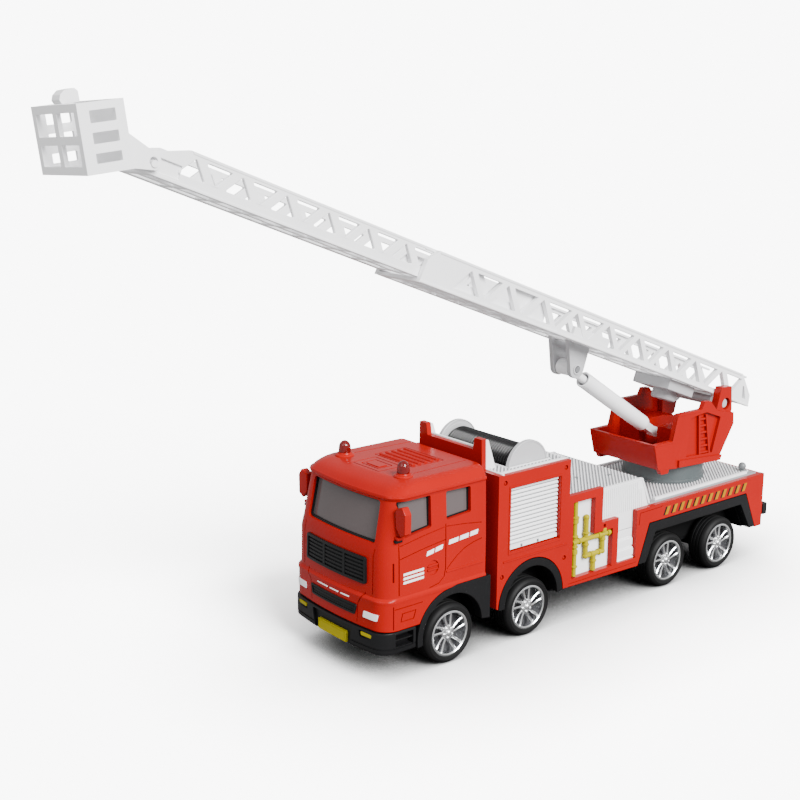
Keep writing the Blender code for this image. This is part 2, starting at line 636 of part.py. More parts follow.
def ladder_extension():
    """White inner section that slides out of the outer one."""
    low, high, inner = LADDER_BOTTOM + 1.5, LADDER_TOP + 0.1, EXTENSION_HALF - 1.5
    nose = EXTENSION_NOSE
    side = [(-nose, low), (-nose + 0.6, 9.3), (-266.5, 10.9), (-257.7, high), (-EXTENSION_TAIL, high),
            (-EXTENSION_TAIL, low)]
    hinge = circle((-BASKET_HINGE[0], BASKET_HINGE[1]), 1.3, 12)
    holes = truss(EXTENSION_TAIL + 2.0, nose - 15.0, low, high, 12)
    bm = bmesh.new()
    prism(bm, "YZ", side, (inner, EXTENSION_HALF), holes + [hinge])
    extension = ladder_object("ladder_extension", bm, "white")
    rest = bmesh.new()
    prism(rest, "YZ", side, (-EXTENSION_HALF, -inner), holes + [hinge])
    prism(rest, "XY", [(-inner - 0.2, -nose + 4.0), (inner + 0.2, -nose + 4.0),
                       (inner + 0.2, -EXTENSION_TAIL - 0.2), (-inner - 0.2, -EXTENSION_TAIL - 0.2)],
          (low + 0.1, low + 1.1), lattice(EXTENSION_TAIL + 2.0, nose - 6.0, inner - 1.2, 13))
    combine(extension, "UNION", rest)


def ladder_fittings():
    """Pins of the ladder's hinge, lift eye and basket, and the housing under the ladder."""
    bm = bmesh.new()
    cylinder(bm, 1.9, (-15.6, 15.6))
    put("ladder_pin", bm, "white", (0.0, *LADDER_PIVOT))
    bm = bmesh.new()
    cylinder(bm, 1.1, (-5.6, 5.6), segments=12)
    put("lift_eye_pin", bm, "steel", (0.0, *ladder_point(*LIFT_EYE)))
    bm = bmesh.new()
    cylinder(bm, 1.0, (-11.9, 11.9), segments=12)
    put("basket_pin", bm, "steel", (0.0, *ladder_point(*BASKET_HINGE)))
    bm = bmesh.new()
    block(bm, (-9.0, 9.0), (-45.0, -16.0), (-1.9, LADDER_BOTTOM - GAP))
    housing = ladder_object("ladder_housing", bm, "grey")
    boss = bmesh.new()
    cylinder(boss, 7.4, (-5.6, -1.7), (0.0, -30.0, 0.0), "Z", 20)
    combine(housing, "UNION", boss)


def lift_cylinder():
    """White rod hung from the ladder's ears and the barrel that slides on it."""
    eye = ladder_point(*LIFT_EYE)
    run = (LIFT_FOOT[0] - eye[0], LIFT_FOOT[1] - eye[1])
    length = math.hypot(*run)
    turn = math.degrees(math.atan2(run[1], run[0]))
    bm = bmesh.new()
    prism(bm, "YZ", circle((0.0, 0.0), 2.9, 16), (-2.9, 2.9), [circle((0.0, 0.0), 1.4, 12)])
    rod = put("lift_rod", bm, "white", (0.0, *eye), turn)
    shaft = bmesh.new()
    cylinder(shaft, ROD_RADIUS, (2.2, 42.5), axis="Y", segments=12)
    combine(rod, "UNION", shaft)
    mouth, foot = length - 10.6, 6.6
    bm = bmesh.new()
    bore = ROD_RADIUS + GAP
    profile = ((bore, -foot - 1.6), (0.0, -foot - 1.6), (0.0, -foot + 1.4), (2.0, -foot + 1.4),
               (BARREL_RADIUS, -foot), (BARREL_RADIUS, -mouth), (bore, -mouth))
    turned(bm, profile, axis="Y", segments=16)
    barrel = put("lift_barrel", bm, "white", (0.0, *LIFT_FOOT), turn)
    tail = bmesh.new()
    prism(tail, "YZ", [(-foot + 0.4, -1.4), (-foot + 0.4, 1.4)] + arc((0.0, 0.0), 2.0, 135, -135, 8),
          (-1.6, 1.6))
    combine(barrel, "UNION", tail)


def basket():
    """White rescue basket on two lugs outside the ladder's tip, with its work lamp."""
    rear, floor = -7.2, -0.8
    front, top, wall = rear - BASKET_DEPTH, floor + BASKET_HEIGHT, 1.3
    windows = []
    for x0, x1 in ((-11.6, -1.2), (1.2, 11.6)):
        for z0, z1 in ((floor + 2.2, floor + 7.8), (floor + 10.0, top - 2.2)):
            windows.append(((x0, z0), (x1, z0), (x1, z1), (x0, z1)))
    slots = []
    y0, y1 = front + 3.2, rear - 2.8
    for z0 in (floor + 2.6, floor + 7.2, floor + 12.2):
        slots.append(((y0, z0), (y1, z0), (y1, z0 + 2.8), (y0, z0 + 2.8)))
    lug = [(rear - 0.5, floor + 0.2), (rear - 0.5, floor + 9.0)] + arc((0.0, 0.0), 3.2, 70, -90, 6)
    bm = bmesh.new()
    outline = ((-BASKET_HALF, front), (BASKET_HALF, front), (BASKET_HALF, rear), (-BASKET_HALF, rear))
    hollow = ((wall - BASKET_HALF, front + wall), (BASKET_HALF - wall, front + wall),
              (BASKET_HALF - wall, rear - wall), (wall - BASKET_HALF, rear - wall))
    prism(bm, "XY", outline, (floor, top), [hollow])
    hinge = (0.0, *ladder_point(*BASKET_HINGE))
    cage = put("basket", bm, "white", hinge, BASKET_TILT)
    rest = bmesh.new()
    width = (-BASKET_HALF + 0.2, BASKET_HALF - 0.2)
    block(rest, width, (front + 0.2, rear - 0.2), (floor + 0.1, floor + 1.3))
    for hand in (1, -1):
        prism(rest, "YZ", lug, sided(hand, EXTENSION_HALF + GAP, 11.4))
    combine(cage, "UNION", rest)
    cut = bmesh.new()
    for window in windows:
        prism(cut, "XZ", window, (front - 2.0, front + 4.0))
    for slot in slots:
        prism(cut, "YZ", slot, (-20.0, 20.0))
    cylinder(cut, 1.3, (-15.0, 15.0), segments=12)
    combine(cage, "DIFFERENCE", cut)
    bm = bmesh.new()
    z = top + GAP
    outline = [(front + 0.2, z), (front + 5.6, z)] + arc((front + 4.0, z + 2.4), 1.6, 0, 90, 3)
    outline += [(front + 1.6, z + 4.0), (front + 0.2, z + 2.6)]
    prism(bm, "YZ", outline, (-0.6, 4.4))
    put("basket_lamp", bm, "white", hinge, BASKET_TILT)


def main():
    for obj in list(bpy.data.objects):
        bpy.data.objects.remove(obj, do_unlink=True)
    chassis()
    wheels()
    arches()
    cab_shell()
    cab_windows()
    face_plate("grille", 16.1, 15.9, (32.3, 41.0), 1.0)
    face_plate("lower_grille", 11.5, 12.4, (21.0, 24.4), 0.5)
    front_bumper()
    beacons()
    body_shell()
    deck()
    shutters()
    pump_pipes()
    hose_reel()
    rear_fittings()
    chassis_screws()
    turntable()
    turret_tub()
    ladder_base()
    ladder_extension()
    ladder_fittings()
    lift_cylinder()
    basket()


main()
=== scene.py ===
"""Looks of the toy fire engine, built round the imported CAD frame.

Pieces are drawn in millimetres like the CAD: +X is the truck's left, -Y its front, +Z up, with
y = 0 at the front axle and z = 0 on the floor.  Everything on the ladder is drawn level, with the
ladder's pin at y = z = 0, and is then tilted to the ladder's angle.  The frame gives the place and
the tilt of each drawing.
"""
import json
import math

import bmesh
import bpy
from mathutils import Matrix, Vector
from mathutils.geometry import tessellate_polygon


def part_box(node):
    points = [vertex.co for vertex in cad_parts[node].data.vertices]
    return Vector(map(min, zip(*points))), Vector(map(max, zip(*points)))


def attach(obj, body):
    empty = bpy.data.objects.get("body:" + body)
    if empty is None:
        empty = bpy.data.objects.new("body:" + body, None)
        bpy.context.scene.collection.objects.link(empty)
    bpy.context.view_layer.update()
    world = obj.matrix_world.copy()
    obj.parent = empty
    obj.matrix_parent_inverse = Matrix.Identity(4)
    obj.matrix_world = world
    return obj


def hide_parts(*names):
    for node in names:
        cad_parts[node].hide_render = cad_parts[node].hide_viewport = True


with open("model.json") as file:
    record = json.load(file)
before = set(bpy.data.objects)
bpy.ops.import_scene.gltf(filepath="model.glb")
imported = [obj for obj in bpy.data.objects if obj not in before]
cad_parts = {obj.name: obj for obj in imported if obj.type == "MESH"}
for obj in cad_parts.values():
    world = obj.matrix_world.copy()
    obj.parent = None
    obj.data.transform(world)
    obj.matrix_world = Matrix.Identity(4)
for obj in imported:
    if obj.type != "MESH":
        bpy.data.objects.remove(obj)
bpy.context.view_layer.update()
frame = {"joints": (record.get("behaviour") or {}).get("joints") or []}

# ---------------------------------------------------------------- datums from the frame
MM = 0.001
SIDES = ((1, "left"), (-1, "right"))
# strength of the sky that lights the toy, brightness of the sky and floor that the camera sees,
# and the share of its light that the floor gives back to the toy
SKY, BACKDROP, BOUNCE = 0.75, 9.0, 0.30
# light, where it comes from, its power and its angular size in degrees
LIGHTS = (("key", (0.82, 0.0, 0.57), 9.0, 35.0), ("front", (0.1, -0.75, 0.65), 0.9, 40.0))


def middle(node):
    """Centre of a CAD node's box."""
    low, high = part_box(node)
    return (low + high) / 2.0


def joint(name):
    """A joint of the record by name."""
    return next(j for j in frame["joints"] if j["name"] == name)


AXLES = [middle(f"axle_{number}") for number in range(1, 5)]
FLOOR_DATUM = Vector((0.0, AXLES[0].y, 0.0))
LADDER_PIN = middle("ladder_pin")
BASKET_PIN = middle("basket_pin")
LIFT_EYE = middle("lift_eye_pin")
ladder_axis = joint("ladder_extend")["axis"]
lift_axis = joint("lift_barrel_slide")["axis"]
LADDER_TILT = -math.atan2(ladder_axis[2], -ladder_axis[1])
LIFT_TILT = math.atan2(lift_axis[2], lift_axis[1])
BASKET_TILT = math.radians(6.0)
BASKET_LEAN = math.radians(-2.7)


def place_at(point, turn=0.0):
    """Matrix from a millimetre drawing to the row frame."""
    return Matrix.Translation(point) @ Matrix.Rotation(turn, 4, "X") @ Matrix.Scale(MM, 4)


TRUCK = place_at(FLOOR_DATUM)
LADDER = place_at(LADDER_PIN, LADDER_TILT)
LIFT = place_at(LIFT_EYE, LIFT_TILT)
BASKET = place_at(BASKET_PIN, BASKET_TILT) @ Matrix.Rotation(BASKET_LEAN, 4, "Y")
REEL = place_at(middle("hose_drum"))
# points of the drawings that several pieces share
TURNTABLE = (0.0, 134.0, 0.0)
POST_EYE = (152.5, 63.7)
EAR_EYE = (-78.8, -6.3)


# ---------------------------------------------------------------- materials
def link(tree, source, target):
    tree.links.new(source, target)


def surface(name, colour, roughness, spread=0.06, scale=60.0, bump=0.02, grain=900.0, **extra):
    """A plastic, rubber or metal: slow colour and gloss variation under a fine moulded grain."""
    material = bpy.data.materials.new(name)
    material.use_nodes = True
    tree = material.node_tree
    shader = tree.nodes["Principled BSDF"]
    for socket, value in extra.items():
        shader.inputs[socket.replace("_", " ")].default_value = value
    place = tree.nodes.new("ShaderNodeTexCoord")
    slow = tree.nodes.new("ShaderNodeTexNoise")
    slow.inputs["Scale"].default_value = scale
    slow.inputs["Detail"].default_value = 4.0
    link(tree, place.outputs["Object"], slow.inputs["Vector"])
    ramp = tree.nodes.new("ShaderNodeValToRGB")
    ramp.color_ramp.elements[0].position = 0.3
    ramp.color_ramp.elements[1].position = 0.7
    ramp.color_ramp.elements[0].color = [c * (1.0 - spread) for c in colour] + [1.0]
    ramp.color_ramp.elements[1].color = [min(1.0, c * (1.0 + spread)) for c in colour] + [1.0]
    link(tree, slow.outputs["Fac"], ramp.inputs["Fac"])
    link(tree, ramp.outputs["Color"], shader.inputs["Base Color"])
    gloss = tree.nodes.new("ShaderNodeMapRange")
    gloss.inputs["To Min"].default_value = roughness * 0.85
    gloss.inputs["To Max"].default_value = roughness * 1.2
    link(tree, slow.outputs["Fac"], gloss.inputs["Value"])
    link(tree, gloss.outputs["Result"], shader.inputs["Roughness"])
    fine = tree.nodes.new("ShaderNodeTexNoise")
    fine.inputs["Scale"].default_value = grain
    fine.inputs["Detail"].default_value = 3.0
    link(tree, place.outputs["Object"], fine.inputs["Vector"])
    relief = tree.nodes.new("ShaderNodeBump")
    relief.inputs["Strength"].default_value = bump
    relief.inputs["Distance"].default_value = 0.0004
    link(tree, fine.outputs["Fac"], relief.inputs["Height"])
    link(tree, relief.outputs["Normal"], shader.inputs["Normal"])
    return material


RED = surface("red_plastic", (0.30, 0.0035, 0.0018), 0.24, spread=0.04, Specular_IOR_Level=0.14)
WHITE = surface("white_plastic", (0.88, 0.88, 0.89), 0.36, spread=0.02, bump=0.03)
DECK = surface("deck_plastic", (0.86, 0.86, 0.87), 0.45, spread=0.02, bump=0.04)
# dark grey for the white deck's base moulding: painted shade between the tread ribs
DECK_SHADE = surface("deck_painted_shade", (0.27, 0.275, 0.285), 0.55, spread=0.05, bump=0.04)
# white plastic painted pale grey: painted shade on white parts that sit in shadow
SHADED_WHITE = surface("white_painted_shade", (0.42, 0.42, 0.43), 0.38, spread=0.03, bump=0.03)
PLINTH = surface("plinth_plastic", (0.05, 0.062, 0.064), 0.42, spread=0.06, bump=0.04)
BLACK = surface("black_plastic", (0.0045, 0.0045, 0.005), 0.42, spread=0.2, bump=0.06, Specular_IOR_Level=0.2)
RUBBER = surface("tyre_rubber", (0.004, 0.004, 0.0042), 0.6, spread=0.25, bump=0.12, grain=1400.0,
                 Specular_IOR_Level=0.2)
CHROME = surface("rim_plating", (0.92, 0.93, 0.94), 0.2, spread=0.02, Metallic=1.0)
DARK = surface("rim_shadow", (0.02, 0.02, 0.022), 0.5, spread=0.2, Specular_IOR_Level=0.3)
# near-black sheet: painted shade inside the wheelhouses
SHADOW = surface("wheelhouse_painted_shade", (0.003, 0.003, 0.0032), 0.7, spread=0.2, Specular_IOR_Level=0.1)
STEEL = surface("steel", (0.60, 0.61, 0.63), 0.3, spread=0.05, Metallic=1.0)
GREY = surface("grey_plastic", (0.13, 0.14, 0.145), 0.40, spread=0.04, bump=0.04)
HOSE = surface("drum_plastic", (0.0035, 0.0035, 0.0038), 0.2, spread=0.2, Specular_IOR_Level=0.35)
YELLOW = surface("yellow_paint", (0.33, 0.272, 0.0008), 0.35, spread=0.05, Specular_IOR_Level=0.1)
AMBER = surface("amber_print", (0.34, 0.145, 0.0008), 0.4, spread=0.12, scale=260.0, Specular_IOR_Level=0.1)
PRINT = surface("white_print", (0.88, 0.88, 0.86), 0.45, spread=0.03)
LAMP = surface("lamp_silver", (0.88, 0.88, 0.9), 0.18, spread=0.02, Coat_Weight=0.5)
SMOKE = surface("smoked_pane", (0.085, 0.070, 0.070), 0.07, spread=0.03, bump=0.004, Specular_IOR_Level=0.3)
BEACON = surface("beacon_lens", (0.24, 0.005, 0.005), 0.05, spread=0.04, bump=0.004,
                 Transmission_Weight=0.6, IOR=1.49)
# the frame's slot of a piece in each material, unless the piece names another
SLOTS = {RED: "body_red", WHITE: "ladder_white", DECK: "deck_white", DECK_SHADE: "deck_white",
         SHADED_WHITE: "ladder_white", PLINTH: "plinth_grey", BLACK: "trim_black", RUBBER: "tyre_black",
         CHROME: "rim_chrome", SHADOW: "trim_black", GREY: "plinth_grey", HOSE: "reel_black",
         YELLOW: "pipe_yellow", AMBER: "pipe_yellow", PRINT: "ladder_white", LAMP: "ladder_white",
         SMOKE: "window_smoke", BEACON: "beacon_red"}


# ---------------------------------------------------------------- drawing tools
PLANES = {
    "XY": lambda a, b, depth: (a, b, depth),
    "XZ": lambda a, b, depth: (a, depth, b),
    "YZ": lambda a, b, depth: (depth, a, b),
}


def arc(centre, radius, start, end, steps):
    """Points of an arc from one angle to another, in degrees."""
    points = []
    for i in range(steps + 1):
        angle = math.radians(start + (end - start) * i / steps)
        points.append((centre[0] + radius * math.cos(angle), centre[1] + radius * math.sin(angle)))
    return points


def circle(centre, radius, segments=24):
    """Points of a whole circle."""
    return arc(centre, radius, 0.0, 360.0 * (segments - 1) / segments, segments - 1)


def sided(side, low, high):
    """A span across X on the left (+1) or the right (-1) side."""
    return (side * low, side * high)


def flipped(side, outline):
    """An outline across X, flipped for the right side."""
    return [(side * x, other) for x, other in outline]


def rounded(points, radius, steps=3):
    """An outline with its corners rounded."""
    result = []
    count = len(points)
    for i in range(count):
        corner = Vector(points[i])
        before = Vector(points[i - 1]) - corner
        after = Vector(points[(i + 1) % count]) - corner
        half = 0.5 * before.angle(after)
        run = min(radius / math.tan(half), 0.45 * before.length, 0.45 * after.length)
        first = corner + before.normalized() * run
        last = corner + after.normalized() * run
        for step in range(steps + 1):
            t = step / steps
            point = first * (1 - t) ** 2 + corner * 2 * t * (1 - t) + last * t ** 2
            result.append((point.x, point.y))
    return result


def box_outline(a0, a1, b0, b1):
    """Corners of a rectangle."""
    return [(a0, b0), (a1, b0), (a1, b1), (a0, b1)]


def inset(points, distance):
    """An outline moved inwards by a distance, corner by corner."""
    area = sum(points[i - 1][0] * points[i][1] - points[i][0] * points[i - 1][1] for i in range(len(points)))
    sign = 1.0 if area > 0.0 else -1.0
    result = []
    for i in range(len(points)):
        corner = Vector(points[i])
        before = (corner - Vector(points[i - 1])).normalized()
        after = (Vector(points[(i + 1) % len(points)]) - corner).normalized()
        normal = Vector((-before.y - after.y, before.x + after.x))
        if normal.length < 1e-6:
            normal = Vector((-before.y, before.x))
        normal.normalize()
        reach = distance / max(0.3, normal.dot(Vector((-before.y, before.x))))
        point = corner + normal * reach * sign
        result.append((point.x, point.y))
    return result


def ribbon(points, width):
    """Outline of a line of a given width."""
    left, right = [], []
    for i in range(len(points)):
        corner = Vector(points[i])
        before = (corner - Vector(points[i - 1])) if i else Vector(points[1]) - corner
        after = (Vector(points[i + 1]) - corner) if i + 1 < len(points) else before
        tangent = (before.normalized() + after.normalized()).normalized()
        normal = Vector((-tangent.y, tangent.x))
        left.append(tuple(corner + normal * width / 2.0))
        right.append(tuple(corner - normal * width / 2.0))
    return left + right[::-1]


def prism(bm, plane, outline, span, holes=()):
    """Extrude a flat outline with holes between two depths across its plane."""
    place = PLANES[plane]
    loops = [list(outline)] + [list(hole) for hole in holes]
    near, far = ([[bm.verts.new(place(a, b, depth)) for a, b in loop] for loop in loops] for depth in span)
    if holes:
        triangles = tessellate_polygon([[Vector((a, b, 0.0)) for a, b in loop] for loop in loops])
        flat_near = [vert for loop in near for vert in loop]
        flat_far = [vert for loop in far for vert in loop]
        for triangle in triangles:
            bm.faces.new([flat_near[i] for i in triangle])
            bm.faces.new([flat_far[i] for i in reversed(triangle)])
    else:
        bm.faces.new(near[0])
        bm.faces.new(far[0][::-1])
    for low, high in zip(near, far):
        for i in range(len(low)):
            j = (i + 1) % len(low)
            bm.faces.new((low[i], low[j], high[j], high[i]))


def block(bm, x_span, y_span, z_span):
    """A rectangular block."""
    prism(bm, "XY", box_outline(*x_span, *y_span), z_span)


def turned(bm, profile, centre=(0.0, 0.0, 0.0), axis="X", segments=48):
    """Spin a (radius, along) profile; it closes on itself unless it runs from pole to pole."""
    order = {"X": (2, 0, 1), "Y": (0, 2, 1), "Z": (0, 1, 2)}[axis]
    rings = []
    for radius, along in profile:
        ring = []
        for i in range(segments if radius > 0.0 else 1):
            angle = 2.0 * math.pi * i / segments
            local = (radius * math.sin(angle), -radius * math.cos(angle), along)
            ring.append(bm.verts.new([local[order[k]] + centre[k] for k in range(3)]))
        rings.append(ring)
    poles = profile[0][0] == 0.0
    for first, second in zip(rings, rings[1:] if poles else rings[1:] + rings[:1]):
        for i in range(segments):
            j = (i + 1) % segments
            corners = [first[i % len(first)], first[j % len(first)],
                       second[j % len(second)], second[i % len(second)]]
            face = list(dict.fromkeys(corners))
            if len(face) > 2:
                bm.faces.new(face)


def rod(bm, radius, span, centre=(0.0, 0.0, 0.0), axis="X", segments=24, edge=0.15):
    """A round bar with chamfered ends."""
    low, high = span
    turned(bm, ((0.0, low), (radius - edge, low), (radius, low + edge), (radius, high - edge),
                (radius - edge, high), (0.0, high)), centre, axis, segments)


def loft(bm, rings, caps=True):
    """Skin a row of rings of equal length."""
    layers = [[bm.verts.new(point) for point in ring] for ring in rings]
    for low, high in zip(layers, layers[1:] + ([] if caps else layers[:1])):
        for i in range(len(low)):
            j = (i + 1) % len(low)
            bm.faces.new((low[i], low[j], high[j], high[i]))
    if caps:
        bm.faces.new(layers[0][::-1])
        bm.faces.new(layers[-1])


def slices(bm, axis, positions):
    """Cut a drawing across an axis, so that it can follow a curved face."""
    normal = [0.0, 0.0, 0.0]
    normal[axis] = 1.0
    for position in positions:
        point = [0.0, 0.0, 0.0]
        point[axis] = position
        everything = bm.verts[:] + bm.edges[:] + bm.faces[:]
        bmesh.ops.bisect_plane(bm, geom=everything, dist=1e-5, plane_co=point, plane_no=normal)


def to_object(name, bm, place):
    """A scene object from a millimetre drawing."""
    bmesh.ops.recalc_face_normals(bm, faces=bm.faces)
    mesh = bpy.data.meshes.new(name)
    bm.to_mesh(mesh)
    bm.free()
    mesh.transform(place)
    obj = bpy.data.objects.new(name, mesh)
    bpy.context.scene.collection.objects.link(obj)
    return obj


def piece(name, bm, body, finish, place=TRUCK, slot=None, bevel=0.0, stands_for=(), cuts=(), joins=(),
          sharp=32.0, segments=2):
    """Build one visible piece: unions and cuts first, then bevelled edges, then its rider."""
    obj = to_object(name, bm, place)
    tools = []
    for operation, drawings in (("UNION", joins), ("DIFFERENCE", cuts)):
        for drawing in drawings:
            tool = to_object("tool", drawing, place)
            tool.hide_render = True
            modifier = obj.modifiers.new("boolean", "BOOLEAN")
            modifier.operation = operation
            modifier.solver = "EXACT"
            modifier.use_self = True
            modifier.object = tool
            tools.append(tool)
    if bevel:
        modifier = obj.modifiers.new("bevel", "BEVEL")
        modifier.width = bevel * MM
        modifier.segments = segments
        modifier.limit_method = "ANGLE"
        modifier.angle_limit = math.radians(sharp)
    if obj.modifiers:
        bpy.context.view_layer.update()
        evaluated = obj.evaluated_get(bpy.context.evaluated_depsgraph_get())
        plain = obj.data
        obj.data = bpy.data.meshes.new_from_object(evaluated)
        obj.modifiers.clear()
        bpy.data.meshes.remove(plain)
        for tool in tools:
            bpy.data.objects.remove(tool, do_unlink=True)
    obj.data.name = name
    finishes = finish if isinstance(finish, tuple) else (finish,)
    slot = slot or SLOTS[finishes[0]]
    for material in finishes:
        obj.data.materials.append(material)
    obj.data.shade_smooth()
    obj.data.set_sharp_from_angle(angle=math.radians(sharp))
    weighted = obj.modifiers.new("flat_faces", "WEIGHTED_NORMAL")
    weighted.keep_sharp = True
    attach(obj, body)
    if stands_for:
        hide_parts(*stands_for)
    return obj


# ---------------------------------------------------------------- wheels
def tyre_drawing():
    """Rounded tyre with three tread grooves and a raised ring on its sidewall."""
    inner, outer, radius, groove = 16.6, 24.6, 10.4, 0.3
    bead = [(7.9, outer - 0.7), (8.0, outer - 0.25), (8.4, outer - 0.08), (8.8, outer - 0.12), (8.9, outer),
            (9.25, outer), (9.4, outer - 0.18), (9.9, outer - 0.55), (10.25, outer - 1.1)]
    tread = [(radius, outer - 1.8)]
    for along in (22.1, 20.6, 19.1):
        tread += [(radius, along + 0.3), (radius - groove, along + 0.2), (radius - groove, along - 0.2),
                  (radius, along - 0.3)]
    middle_line = (inner + outer) / 2.0
    back = [(r, 2.0 * middle_line - along) for r, along in reversed(bead)]
    return bead + tread + [(radius, inner + 1.8)] + back


def spoke(bm, turn, lean):
    """One curved spoke from the hub to the rim's ring, ridged along its middle."""
    rings = []
    for station in range(7):
        t = station / 6.0
        radius = 1.5 + 5.7 * t
        angle = turn + lean * (0.30 - 0.10 * t) + 0.20 * math.sin(t * math.pi * 0.5)
        centre = Vector((radius * math.cos(angle), radius * math.sin(angle)))
        across = Vector((-math.sin(angle), math.cos(angle)))
        half = 0.36 + 0.10 * t
        top = 23.55 - 0.35 * math.sin(t * math.pi)
        section = ((-half, top - 1.2), (half, top - 1.2), (half, top - 0.15), (0.35 * half, top + 0.1),
                   (-0.35 * half, top + 0.1), (-half, top - 0.15))
        rings.append([(height, *(centre + across * side)) for side, height in section])
    loft(bm, rings)


def rim_drawing():
    """Ten-spoke rim: ring, barrel, five pairs of spokes, hub with nuts and a dark back."""
    bm = bmesh.new()
    turned(bm, ((8.0, 17.2), (8.0, 23.9), (7.85, 24.25), (7.35, 24.35), (7.05, 24.15), (6.95, 23.5),
                (6.9, 21.0), (7.0, 17.2)), segments=64)
    for pair in range(5):
        turn = math.radians(72.0 * pair + 8.0)
        for lean in (-1.0, 1.0):
            spoke(bm, turn, lean)
        nut = turn + math.radians(36.0)
        rod(bm, 0.42, (22.2, 23.95), (0.0, 1.75 * math.cos(nut), 1.75 * math.sin(nut)), segments=6)
    turned(bm, ((0.0, 22.0), (2.5, 22.0), (2.6, 23.1), (2.3, 23.5), (1.25, 23.6), (1.15, 24.0), (0.8, 24.3),
                (0.0, 24.38)), segments=32)
    chromed = len(bm.faces)
    turned(bm, ((0.0, 20.4), (6.95, 20.4), (6.95, 20.9), (3.0, 21.3), (2.6, 22.0), (0.0, 22.1)), segments=48)
    turned(bm, ((0.0, 17.3), (6.99, 17.3), (6.99, 17.8), (0.0, 17.9)), segments=32)
    bm.faces.ensure_lookup_table()
    for face in bm.faces[chromed:]:
        face.material_index = 1
    return bm


def make_wheels():
    """A tyre and a rim at both ends of every axle."""
    for number, axle in enumerate(AXLES, 1):
        body = f"wheels_{number}"
        centre = place_at(axle)
        for side, word in SIDES:
            mirror = Matrix.Scale(side, 4, (1.0, 0.0, 0.0))
            bm = bmesh.new()
            turned(bm, tyre_drawing(), segments=72)
            bm.transform(mirror)
            piece(f"wheel_tyre_{number}_{word}", bm, body, RUBBER, centre,
                  stands_for=[f"tyre_{number}_{word}"], sharp=40.0)
            bm = rim_drawing()
            bm.transform(mirror)
            piece(f"wheel_rim_{number}_{word}", bm, body, (CHROME, DARK), centre,
                  stands_for=[f"rim_{number}_{word}"], sharp=38.0)


# ---------------------------------------------------------------- cab
CAB_REAR, CAB_CORNER, CAB_BOW, WALL = 15.5, 6.0, 1.3, 1.6
CAB_BOTTOM, CAB_BELT = 17.5, 28.0
# height, front face and half width of the outer skin, from the sill over the belt to the roof
CAB_LEVELS = ((17.5, -30.0, 24.85), (17.75, -30.2, 25.0), (26.4, -30.2, 25.0), (27.0, -30.4, 25.15),
              (27.7, -30.35, 25.15), (28.2, -30.0, 24.95), (28.6, -29.4, 24.7), (42.0, -29.1, 24.7),
              (46.0, -28.0, 24.6), (59.9, -25.2, 24.2), (60.5, -25.6, 24.3), (61.0, -25.6, 24.65),
              (61.5, -25.4, 24.6), (61.8, -25.0, 24.05), (62.8, -24.1, 23.5), (63.6, -22.8, 22.9),
              (64.1, -21.6, 22.5), (64.5, -20.4, 21.9), (64.9, -18.9, 21.0), (65.1, -17.9, 20.4),
              (65.2, -17.0, 19.8))
CAB_INNER = (17.5, 27.0, 42.0, 46.0, 59.9, 62.0, 63.3)
WINDSCREEN = ((-18.1, 45.9), (18.1, 45.9), (17.7, 59.6), (-17.7, 59.6))
FRONT_WINDOW = ((-22.0, 59.9), (-19.9, 48.0), (-8.8, 49.4), (-9.0, 60.0))
REAR_WINDOW = ((-2.5, 60.0), (-2.3, 50.4), (8.2, 51.1), (8.1, 59.8))


def cab_level(z):
    """Front face and half width of the cab's skin at a height."""
    for (z0, front0, half0), (z1, front1, half1) in zip(CAB_LEVELS, CAB_LEVELS[1:]):
        if z <= z1:
            t = max(0.0, (z - z0) / (z1 - z0))
            return front0 + t * (front1 - front0), half0 + t * (half1 - half0)
    return CAB_LEVELS[-1][1:]


def front_y(x, z):
    """Depth of the cab's front face, bow and corners included."""
    front, half = cab_level(z)
    flat = half - CAB_CORNER
    if abs(x) <= flat:
        return front + CAB_BOW * (x / flat) ** 2
    reach = min(CAB_CORNER * 0.999, abs(x) - flat)
    return front + CAB_BOW + CAB_CORNER - math.sqrt(CAB_CORNER ** 2 - reach ** 2)


def cab_ring(z, front, half, inward=0.0):
    """One outline of the cab in plan, as 3-D points."""
    corner = (half - CAB_CORNER, front + CAB_BOW + CAB_CORNER)
    rear = CAB_REAR - inward
    points = [(half - inward - 1.0, rear)] + arc((half - inward - 1.0, rear - 1.0), 1.0, 60, 0, 2)
    points += arc(corner, CAB_CORNER - inward, 0, -90, 10)
    for share in (0.8, 0.6, 0.4, 0.2):
        x = share * corner[0]
        points.append((x, front + CAB_BOW * share ** 2 + inward))
    mirrored = [(-x, y) for x, y in reversed(points)]
    return [(x, y, z) for x, y in points + [(0.0, front + inward)] + mirrored]


def on_front(bm):
    """Wrap a drawing whose depth counts from the cab's front face onto that face."""
    low = min(vert.co.x for vert in bm.verts)
    high = max(vert.co.x for vert in bm.verts)
    steps = max(2, int((high - low) / 2.0))
    slices(bm, 0, [low + (high - low) * i / steps for i in range(1, steps)])
    slices(bm, 2, [level[0] for level in CAB_LEVELS])
    for vert in bm.verts:
        vert.co.y += front_y(vert.co.x, vert.co.z)
    return bm


def side_lines(width, lines):
    """Grooves in both cab sides along (y, z) lines."""
    bm = bmesh.new()
    for side, _ in SIDES:
        for line in lines:
            prism(bm, "YZ", ribbon(line, width), sided(side, 24.25, 26.5))
    return bm


